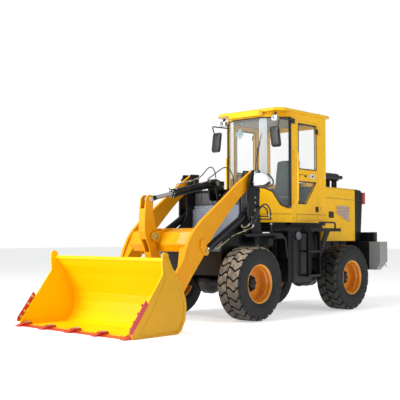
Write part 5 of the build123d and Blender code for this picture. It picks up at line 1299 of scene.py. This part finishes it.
# ------------------------------------------------------------------ hood and rear
for s, side in both():
    n = (0, s, 0)
    out = sorted((s * 0.5500, s * 0.5535))
    # raised border of the pressed side panel
    ring(f"hood_panel_{side}", soften(mm([(215, 1867), (-660, 1850), (-660, 1395), (215, 1395)]), 0.03), 0.010, *out, "cab_yellow", "engine_hood", slot="yellow_paint")
    # painted shade: a thin dark strip along the crease of the hood side
    prism(f"hood_crease_{side}", mm([(245, 1876), (-1000, 1858), (-1000, 1864), (245, 1882)]), *sorted((s * 0.5500, s * 0.5512)), "dark_lining", "engine_hood", slot="black_plastic")
    # vents: amber mesh with pale round holes in staggered rows
    poly = mm([(-175, 1759), (-594, 1754), (-589, 1454), (-173, 1604)])
    bm = bmesh.new()
    prism_into(bm, poly, *sorted((s * 0.5560, s * 0.5580)), "Y", 0, 0.001)
    mesh_piece(f"vent_sheet_{side}", bm, "vent_sheet", "engine_hood", slot="yellow_paint")
    bm = bmesh.new()

    def inside(px, pz):
        hit = False
        for (ax_, az_), (bx_, bz_) in zip(poly, poly[1:] + poly[:1]):
            if (az_ > pz) != (bz_ > pz) and px < (bx_ - ax_) * (pz - az_) / (bz_ - az_) + ax_:
                hit = not hit
        return hit

    row = 0
    z = 1.462
    while z < 1.752:
        px = -2.588 + (0.0145 if row % 2 else 0.0)
        while px < -2.180:
            if all(inside(px + dx, z + dz) for dx, dz in ((0.010, 0), (-0.010, 0), (0, 0.010), (0, -0.010))):
                lathe_into(bm, [(0.0095, 0), (0.0088, 0.0012), (0, 0.0012)], (px, s * 0.5580, z), n, 8, 0, False, False)
            px += 0.029
        z += 0.0252
        row += 1
    mesh_piece(f"vent_holes_{side}", bm, "lamp", "engine_hood", slot="black_plastic")
    ring(f"vent_frame_{side}", soften(poly, 0.012), 0.010, *sorted((s * 0.5500, s * 0.5600)), "cab_yellow", "engine_hood", slot="yellow_paint")
    # latch: recessed black box with a paddle
    bm = bmesh.new()
    prism_into(bm, soften(mm([(52, 1535), (-98, 1535), (-98, 1644), (52, 1644)]), 0.014), *sorted((s * 0.5500, s * 0.5570)), "Y", 0, 0.003)
    prism_into(bm, soften(mm([(30, 1556), (-76, 1556), (-76, 1612), (30, 1612)]), 0.010), *sorted((s * 0.5565, s * 0.5610)), "Y", 0, 0.003)
    mesh_piece(f"hood_latch_{side}", bm, "plastic", "engine_hood", slot="black_plastic")
    lathe(f"hood_knob_{side}", [(0.014, 0), (0.014, 0.004), (0.009, 0.006), (0.009, 0.016), (0.018, 0.020), (0.018, 0.030), (0.012, 0.034), (0, 0.035)], F(199, s * 550, 1622), n, "plastic", "engine_hood", slot="black_plastic")
    lathe(f"side_cap_{side}", [(0.020, 0), (0.020, 0.004), (0.016, 0.007), (0, 0.008)], F(330, s * 660, 2203), n, "lamp", "rear_frame", slot="grey_paint")
    # tail lamp bezel
    tlo, thi = sorted((s * 0.478, s * 0.545))
    ring(f"tail_bezel_{side}", rect(tlo + 0.002, thi - 0.002, 1.802, 2.008, 0.008), 0.007, -3.1500, -3.1450, "plastic", "rear_frame" if "tail_lamps" in frame["record"].get("behaviour", {}).get("bodies", {}).get("rear_frame", []) else "engine_hood", "X", slot="black_plastic")
    # bolts along the counterweight
    bolts(f"weight_bolts_{side}", [(F(x_, s * 950, z_), n) for x_ in (-1150, -1010) for z_ in (700, 1050)], "steel", "rear_frame", 0.016, 0.012)
    # filler cap on the tank
    lathe(f"filler_{side}", [(0.046, 0), (0.046, 0.006), (0.040, 0.008), (0.040, 0.012), (0.060, 0.015), (0.062, 0.020), (0.062, 0.034), (0.056, 0.039), (0.020, 0.040), (0.018, 0.043), (0, 0.043)], F(1392, s * 845, 1230), n, "plastic_grey", "rear_frame", slot="black_plastic")
    # steps: serrated rungs and tank straps
    bm = bmesh.new()
    for z in (592, 968):
        for k in range(9):
            x_ = 940 + k * 29.5
            prism_into(bm, mm([(x_, z + 21), (x_ + 12, z + 21), (x_ + 8, z + 29.5), (x_ + 4, z + 29.5)]), *sorted((s * 0.868, s * 0.938)), "Y", 0, 0.001)
    mesh_piece(f"step_teeth_{side}", bm, "black_fitting", "rear_frame", slot="black_paint")
    bm = bmesh.new()
    for x_ in (1030, 1500):
        pipe_into(bm, [F(x_, s * 700, 1301), F(x_, s * 846, 1301), F(x_, s * 846, 900), F(x_, s * 846, 504.5), F(x_, s * 700, 504.5)], 0.004, 0.03, 8)
        hex_into(bm, F(x_, s * 849, 1180), n, 0.009, 0.008)
    mesh_piece(f"tank_straps_{side}", bm, "black_fitting", "rear_frame", slot="black_paint")
    # white-capped stub on the platform's front
    bm = bmesh.new()
    lathe_into(bm, [(0.0145, 0), (0.0145, 0.130), (0.012, 0.134), (0, 0.134)], F(1935, s * 752, 1268), (0, 0, 1), 24)
    lathe_into(bm, [(0.022, 0), (0.022, 0.040), (0.016, 0.046)], F(1935, s * 752, 1268), (0, 0, 1), 24)
    mesh_piece(f"stub_{side}", bm, "plastic", "front_frame", slot="black_plastic")
    lathe(f"stub_cap_{side}", [(0.0185, 0), (0.0190, 0.002), (0.0190, 0.018), (0.015, 0.023), (0, 0.024)], F(1935, s * 752, 1396), (0, 0, 1), "lamp", "front_frame", 24, slot="grey_paint")
    prism(f"fender_wall_{side}", mm([(2104, 1088), (2268, 1088), (2268, 1260), (2104, 1263)]), *sorted((s * 0.7015, s * 0.7110)), "black", "front_frame", slot="black_paint")
    # fender post and its bolts
    bm = bmesh.new()
    prism_into(bm, mm([(2190, 1180), (2240, 1180), (2240, 1258), (2190, 1258)]), *sorted((s * 0.712, s * 0.722)), "Y", 0, 0.002)
    hex_into(bm, F(2215, s * 722, 1222), n, 0.010, 0.008)
    mesh_piece(f"fender_post_{side}", bm, "black", "front_frame", slot="black_paint")
# rear grille slats
bm = bmesh.new()
glo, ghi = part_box("rear_grille")
for k in range(11):
    z = 1.42 + k * 0.034
    prism_into(bm, [(glo.x + 0.001, z), (glo.x + 0.012, z + 0.006), (glo.x + 0.012, z + 0.020), (glo.x + 0.004, z + 0.016)], -0.24, 0.24, "Y", 0, 0.001)
mesh_piece("grille_slats", bm, "plastic", "engine_hood" if "rear_grille" in frame["record"].get("behaviour", {}).get("bodies", {}).get("engine_hood", []) else "rear_frame", slot="black_plastic")
# air cleaner: bands and end cap clips
abody = "engine_hood" if "air_cleaner" in frame["record"].get("behaviour", {}).get("bodies", {}).get("engine_hood", []) else "rear_frame"
bm = bmesh.new()
for x_ in (-640, -500, -360):
    lathe_into(bm, [(0.0700, -0.010), (0.0728, -0.008), (0.0728, 0.008), (0.0700, 0.010)], F(x_, 200, 2280), (1, 0, 0), 48, ends=False)
for a in (0.4, 2.5, 4.6):
    c = Vector(F(-705, 200, 2280)) + Vector((0, math.cos(a), math.sin(a))) * 0.071
    pipe_into(bm, [c, c + Vector((0.05, 0, 0))], 0.004, 0.0, 8)
mesh_piece("cleaner_bands", bm, "plastic", abody, slot="black_plastic")

# ------------------------------------------------------------------ seat: stuffed pads
def pad_from(name, outline, y0, y1, mat, cap, crown, shrink=0.94):
    """A pad from a side-view outline: a slightly smaller closed form that swells as cloth under pressure."""
    bm = bmesh.new()
    cx = sum(a for a, _ in outline) / len(outline)
    cz = sum(b for _, b in outline) / len(outline)
    small = [(cx + (a - cx) * shrink, cz + (b - cz) * shrink) for a, b in outline]
    w = (y1 - y0) / 2
    cy = (y0 + y1) / 2
    rows = []
    for t, k in ((-0.97, 0.80), (-0.90, 0.95), (-0.55, 1.0), (0.0, 1.0), (0.55, 1.0), (0.90, 0.95), (0.97, 0.80)):
        rows.append([bm.verts.new((cx + (a - cx) * k, cy + w * t, cz + (b - cz) * k)) for a, b in small])
    for a, b in zip(rows, rows[1:]):
        for k in range(len(a)):
            bm.faces.new((a[k], a[(k + 1) % len(a)], b[(k + 1) % len(a)], b[k]))
    bm.faces.new(rows[0])
    bm.faces.new(rows[-1])
    bmesh.ops.recalc_face_normals(bm, faces=bm.faces)
    me = bpy.data.meshes.new(name)
    bm.to_mesh(me)
    bm.free()
    o = link(bpy.data.objects.new(name, me))
    bpy.context.view_layer.objects.active = o
    for q in bpy.context.selected_objects:
        q.select_set(False)
    o.select_set(True)
    rm = o.modifiers.new("remesh", "REMESH")
    rm.mode = "VOXEL"
    rm.voxel_size = 0.009
    sm = o.modifiers.new("smooth", "SMOOTH")
    sm.factor, sm.iterations = 0.5, 6
    bpy.ops.object.modifier_apply(modifier="remesh")
    bpy.ops.object.modifier_apply(modifier="smooth")
    rest = [v.co.copy() for v in o.data.vertices]
    cl = o.modifiers.new("cloth", "CLOTH")
    st = cl.settings
    st.quality = 5
    st.mass = 0.3
    st.use_pressure = True
    st.uniform_pressure_force = 4.0
    st.effector_weights.gravity = 0.0
    st.tension_stiffness = st.compression_stiffness = 18
    st.bending_stiffness = 0.4
    cl.point_cache.frame_start, cl.point_cache.frame_end = 1, 22
    scene = bpy.context.scene
    for f in range(1, 19):
        scene.frame_set(f)
    dg = bpy.context.evaluated_depsgraph_get()
    ev = o.evaluated_get(dg)
    moved = [v.co.copy() for v in ev.data.vertices]
    o.modifiers.remove(cl)
    scene.frame_set(1)
    for v, r, q in zip(o.data.vertices, rest, moved):
        d = q - r
        if d.length > cap:
            d = d.normalized() * cap
        v.co = r + d
    o.data.materials.clear()
    o.data.materials.append(M[mat])
    return o


def keep_in(o, lo_, hi_):
    for v in o.data.vertices:
        for i in range(3):
            v.co[i] = min(max(v.co[i], lo_[i]), hi_[i])


def channel(o, test, depth):
    """Press a sewn channel: test(co) gives 0..1 how near a vertex is to the seam."""
    me = o.data
    normals = [v.normal.copy() for v in me.vertices]
    for v, n in zip(me.vertices, normals):
        k = test(v.co)
        if k > 0:
            v.co -= n * depth * k


def near(value, seam, width):
    d = abs(value - seam) / width
    return max(0.0, 1 - d * d) if d < 1 else 0.0


clo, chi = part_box("seat_cushion")
cushion = pad_from("seat_pad", soften([(clo.x, clo.z), (chi.x - 0.03, clo.z), (chi.x, clo.z + 0.045), (chi.x - 0.01, chi.z - 0.02), (clo.x + 0.02, chi.z)], 0.04), clo.y, chi.y, "cloth", 0.016, 0.02)
keep_in(cushion, clo, chi)
channel(cushion, lambda p: max(near(p.y, -0.135, 0.010), near(p.y, 0.135, 0.010)) if p.z > clo.z + 0.05 else 0, 0.007)
channel(cushion, lambda p: max(near(p.x, clo.x + 0.12 + 0.075 * k, 0.008) for k in range(4)) if (abs(p.y) < 0.13 and p.z > clo.z + 0.06) else 0, 0.005)
blo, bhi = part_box("seat_backrest")
back_outline = soften(mm([(470, 1902), (583, 1902), (560, 2200), (502, 2555), (403, 2555), (440, 2200)]), 0.04)
backrest = pad_from("back_pad", back_outline, blo.y, bhi.y, "cloth", 0.016, 0.02)
keep_in(backrest, blo, bhi)
channel(backrest, lambda p: max(near(p.y, -0.125, 0.010), near(p.y, 0.125, 0.010)) if p.x > -1.53 else 0, 0.007)
channel(backrest, lambda p: max(near(p.z, 1.99 + 0.085 * k, 0.008) for k in range(5)) if (abs(p.y) < 0.12 and p.x > -1.53) else 0, 0.005)
channel(backrest, lambda p: near(p.z, 2.405, 0.012), 0.008)
for o, node in ((cushion, "seat_cushion"), (backrest, "seat_backrest")):
    for p in o.data.polygons:
        p.use_smooth = True
    sub = o.modifiers.new("sub", "SUBSURF")
    sub.levels = sub.render_levels = 1
    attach(o, "rear_frame")
    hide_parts(node)
# piping along the pads' edges and the seat's plastic back shell
bm = bmesh.new()
for y in (-0.222, 0.222):
    pipe_into(bm, [(clo.x + 0.03, y, clo.z + 0.052), (chi.x - 0.04, y, clo.z + 0.052)], 0.004, 0.0, 8)
mesh_piece("seat_piping", bm, "vinyl", "rear_frame", slot="seat_fabric")
bm = bmesh.new()
prism_into(bm, soften(mm([(452, 1905), (466, 1905), (436, 2200), (404, 2500), (392, 2500), (424, 2200)]), 0.01), -0.200, 0.200, "Y", 0, 0.004)
mesh_piece("seat_shell", bm, "vinyl", "rear_frame", slot="black_plastic")
# suspension boot under the seat: stacked folds
slo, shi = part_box("seat_base")
bm = bmesh.new()
for k in range(6):
    z = 1.50 + k * 0.034
    prism_into(bm, rect(slo.x + 0.015 - 0.008 * (k % 2), shi.x - 0.015 + 0.008 * (k % 2), -0.175 - 0.008 * (k % 2), 0.175 + 0.008 * (k % 2), 0.03), z, z + 0.026, "Z", 0, 0.010) if z + 0.026 < shi.z else 0
mesh_piece("seat_boot", bm, "vinyl", "rear_frame", slot="black_plastic")

# ------------------------------------------------------------------ bucket and boom
side_seam = [(4350, 30), (4300, 110), (4262, 240), (4262, 420), (4330, 600), (4420, 735), (4500, 830)]
for s, side in both():
    n = (0, s, 0)
    # raised border along the side plate's rear edge, and the diagonal weld seam
    bm = bmesh.new()
    outer = [(4340, 4), (4266, 50), (4205, 162), (4180, 318), (4197, 438), (4245, 543), (4334, 708), (4434, 824), (4512, 972)]
    inner_ = [(4545, 958), (4468, 800), (4372, 680), (4290, 520), (4244, 420), (4228, 318), (4250, 180), (4300, 90), (4355, 40)]
    prism_into(bm, mm(outer + inner_), *sorted((s * 1.1225, s * 1.1285)), "Y", 0, 0.003)
    mesh_piece(f"side_band_{side}", bm, "bucket_yellow", "bucket_body", slot="yellow_paint")
    bm = bmesh.new()
    pipe_into(bm, [F(4596, s * 1123.2, 790), F(4545, s * 1123.2, 700), F(4770, s * 1123.2, 330), F(4990, s * 1123.2, 40)], 0.0035, 0.02, 8)
    pipe_into(bm, [F(4360, s * 1123.2, 45), F(4980, s * 1123.2, 18)], 0.0030, 0.02, 8)
    mesh_piece(f"side_weld_{side}", bm, "bucket_yellow", "bucket_body", slot="yellow_paint")
    # side cutter bolts
    bolts(f"cutter_bolts_in_{side}", [(F(x_, s * 1102.5, z_), (0, -s, 0)) for x_, z_ in ((4925, 395), (4990, 300), (5055, 205), (5110, 130))], "steel", "bucket_body", 0.013, 0.010)
    # pin collars at the arm's tip
    for e in (1, -1):
        bm = bmesh.new()
        pin_end(bm, F(4050, s * 620 + e * 61.5, 300), (0, e, 0), 0.0295, 0.012)
        lathe_into(bm, [(0.034, -0.013), (0.056, -0.013), (0.056, -0.007), (0.050, -0.003), (0.034, -0.003)], F(4050, s * 620 + e * 61.5, 300), (0, e, 0), 40, ends=False)
        mesh_piece(f"bucket_pin_{side}_{'out' if e > 0 else 'in'}", bm, "olive", "bucket_body", slot="grey_paint")
    # arm bosses at the boom pivot
    for e in (1, -1):
        y0 = s * 620 + e * 22.5
        bm = bmesh.new()
        lathe_into(bm, [(0.0365, 0), (0.056, 0), (0.056, 0.004), (0.053, 0.006), (0.0365, 0.006)], F(2235, y0, 2140), (0, e, 0), 40, ends=False)
        mesh_piece(f"arm_boss_{side}_{'out' if e > 0 else 'in'}", bm, "yellow", "boom_arms", slot="yellow_paint")
    # weld line where the arm's plates meet the cross beam
    bm = bmesh.new()
    pipe_into(bm, [F(3332, s * 597, 1333), F(3510, s * 597, 1282), F(3598, s * 597, 1106), F(3590, s * 597, 1012)], 0.0055, 0.02, 8)
    pipe_into(bm, [F(3606, s * 590, 1100), F(3760, s * 594, 770)], 0.0045, 0.02, 8)
    mesh_piece(f"arm_weld_{side}", bm, "yellow", "boom_arms", slot="yellow_paint")
# top tube: weld beads; back stiffeners on the outside of the bucket
bm = bmesh.new()
for y in (-0.62, -0.25, 0.25, 0.62):
    prism_into(bm, mm([(4176, 330), (4194, 440), (4242, 548), (4332, 714), (4420, 818), (4406, 832), (4312, 728), (4222, 560), (4174, 448), (4160, 330)]), y - 0.006, y + 0.006, "Y", 0, 0.002)
mesh_piece("back_ribs", bm, "bucket_yellow", "bucket_body", slot="yellow_paint")
bm = bmesh.new()
pipe_into(bm, [F(4482, -1100, 908), F(4482, 1100, 908)], 0.005, 0.0, 8)
pipe_into(bm, [F(4500, -1100, 898), F(4500, 1100, 898)], 0.004, 0.0, 8)
mesh_piece("top_weld", bm, "bucket_yellow", "bucket_body", slot="yellow_paint")
# rounded lobes at the side plates' upper corners
for s, side in both():
    lobe = [(2.553 + 0.058 * math.cos(2 * math.pi * k / 40), 0.963 + 0.058 * math.sin(2 * math.pi * k / 40)) for k in range(40)]
    prism(f"ear_lobe_{side}", lobe, *sorted((s * 1.1022, s * 1.1238)), "bucket_yellow", "bucket_body", "Y", 0.002, slot="yellow_paint")
# teeth: two bolts each through the adapter, and wear strips between
tb = []
for y in (-1060, -530, 0, 530, 1060):
    for dx in (5012, 5044):
        for dy in (-20, 20):
            tb.append((F(dx, y + dy, 52), (0, 0, 1)))
bolts("tooth_bolts", tb, "steel", "bucket_body", 0.0105, 0.009)
eb = []
for y in (-795, -265, 265, 795):
    for dy in (-150, -50, 50, 150):
        eb.append((F(5030, y + dy, 18), (0, 0, 1)))
bolts("edge_bolts", eb, "steel", "bucket_body", 0.011, 0.008)
bm = bmesh.new()
for y in (-1.060, -0.530, 0.0, 0.530, 1.060):
    w0, w1 = 0.040, 0.026
    v = [bm.verts.new(p) for p in ((3.088, y - w0, 0.0545), (3.088, y + w0, 0.0545), (3.204, y + w1, 0.0150), (3.204, y - w1, 0.0150), (3.088, y - w0 * 0.4, 0.0600), (3.088, y + w0 * 0.4, 0.0600), (3.150, y + 0.006, 0.0400), (3.150, y - 0.006, 0.0400))]
    for f in ((0, 1, 5, 4), (1, 2, 6, 5), (2, 3, 7, 6), (3, 0, 4, 7), (4, 5, 6, 7), (0, 3, 2, 1)):
        bm.faces.new([v[i] for i in f])
mesh_piece("tooth_ridges", bm, "red", "bucket_body", slot="red_paint")

# ------------------------------------------------------------------ axles, engine, underside
for x, nm in ((-2.0, "rear_frame"), (0.48, "front_frame")):
    node = "rear_axle" if x < 0 else "front_axle"
    alo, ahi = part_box(node)
    bm = bmesh.new()
    # differential cover: bolted ring; drive flange towards the middle
    f = 1 if x < 0 else -1
    for e in (1, -1):
        lathe_into(bm, [(0.070, 0), (0.175, 0.0), (0.182, 0.006), (0.182, 0.020), (0.176, 0.024), (0.150, 0.024)], (x + e * 0.150, 0, 0.5375), (e, 0, 0), 48, ends=False) if ahi.x - x > 0.19 else 0
    for s in (1, -1):
        for k in range(10):
            a = 2 * math.pi * k / 10
            hex_into(bm, (x + 0.082 * math.cos(a), s * 0.520, 0.5375 + 0.082 * math.sin(a)), (0, -s, 0), 0.010, 0.009, False)
        lathe_into(bm, [(0.070, 0), (0.100, 0.002), (0.100, 0.020), (0.072, 0.024)], (x, s * 0.500, 0.5375), (0, s, 0), 40, ends=False)
        lathe_into(bm, [(0.060, 0), (0.130, 0.004), (0.135, 0.020), (0.135, 0.045), (0.110, 0.055), (0.060, 0.058)], (x, s * 0.570, 0.5375), (0, s, 0), 48, ends=False)
    mesh_piece(f"axle_rings_{'rear' if x < 0 else 'front'}", bm, "black", nm, slot="black_paint")
elo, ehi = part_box("engine_block")
bm = bmesh.new()
for k in range(5):
    x = elo.x + 0.10 + k * (ehi.x - elo.x - 0.2) / 5
    for s in (1, -1):
        prism_into(bm, rect(x, x + 0.05, max(elo.z + 0.1, 0.75), min(ehi.z - 0.05, 1.25), 0.01), *sorted((s * (ehi.y - 0.001), s * (ehi.y + 0.004))), "Y", 0, 0.002) if ehi.y > 0.1 else 0
mesh_piece("engine_ribs", bm, "iron", "rear_frame", slot="engine_iron")



# ------------------------------------------------------------------ floor, light
floor_me = bpy.data.meshes.new("floor")
bm = bmesh.new()
bmesh.ops.create_grid(bm, x_segments=1, y_segments=1, size=60)
bm.to_mesh(floor_me)
bm.free()
floor = link(bpy.data.objects.new("floor", floor_me))
floor.location = (0, 0, -0.0005)
fm = bpy.data.materials.new("floor")
fm.use_nodes = True
fm.node_tree.nodes["Principled BSDF"].inputs["Base Color"].default_value = (0.88, 0.88, 0.88, 1)
fm.node_tree.nodes["Principled BSDF"].inputs["Roughness"].default_value = 0.9
fm.node_tree.nodes["Principled BSDF"].inputs["Emission Color"].default_value = (1, 1, 1, 1)
fm.node_tree.nodes["Principled BSDF"].inputs["Emission Strength"].default_value = 0.5
floor_me.materials.append(fm)

world = bpy.data.worlds.new("studio")
bpy.context.scene.world = world
world.use_nodes = True
wt = world.node_tree
wt.nodes["Background"].inputs["Color"].default_value = (0.97, 0.985, 1.0, 1)
wt.nodes["Background"].inputs["Strength"].default_value = 0.40
backdrop = wt.nodes.new("ShaderNodeBackground")
backdrop.inputs["Color"].default_value = (1, 1, 1, 1)
seen = wt.nodes.new("ShaderNodeLightPath")
both_of = wt.nodes.new("ShaderNodeMixShader")
wt.links.new(seen.outputs["Is Camera Ray"], both_of.inputs[0])
wt.links.new(wt.nodes["Background"].outputs[0], both_of.inputs[1])
wt.links.new(backdrop.outputs[0], both_of.inputs[2])
wt.links.new(both_of.outputs[0], wt.nodes["World Output"].inputs["Surface"])


def softbox(name, place, target, size, power, color=(1, 1, 1)):
    la = bpy.data.lights.new(name, "AREA")
    la.shape = "RECTANGLE"
    la.size, la.size_y = size
    la.energy = power
    la.color = color
    o = link(bpy.data.objects.new(name, la))
    o.location = place
    o.rotation_euler = (Vector(target) - Vector(place)).to_track_quat("-Z", "Y").to_euler()
    return o


softbox("key", (6.5, -1.0, 8.0), (0.5, 0, 1.2), (5, 5), 900, (1.0, 0.985, 0.96))
softbox("front", (11.0, -4.5, 3.5), (1.5, 0, 0.8), (4, 4), 620)
softbox("side", (-2.5, 9.5, 5.0), (-0.8, 0, 1.4), (6, 4), 240, (0.96, 0.98, 1.0))

# ------------------------------------------------------------------ view layer update
bpy.context.view_layer.update()
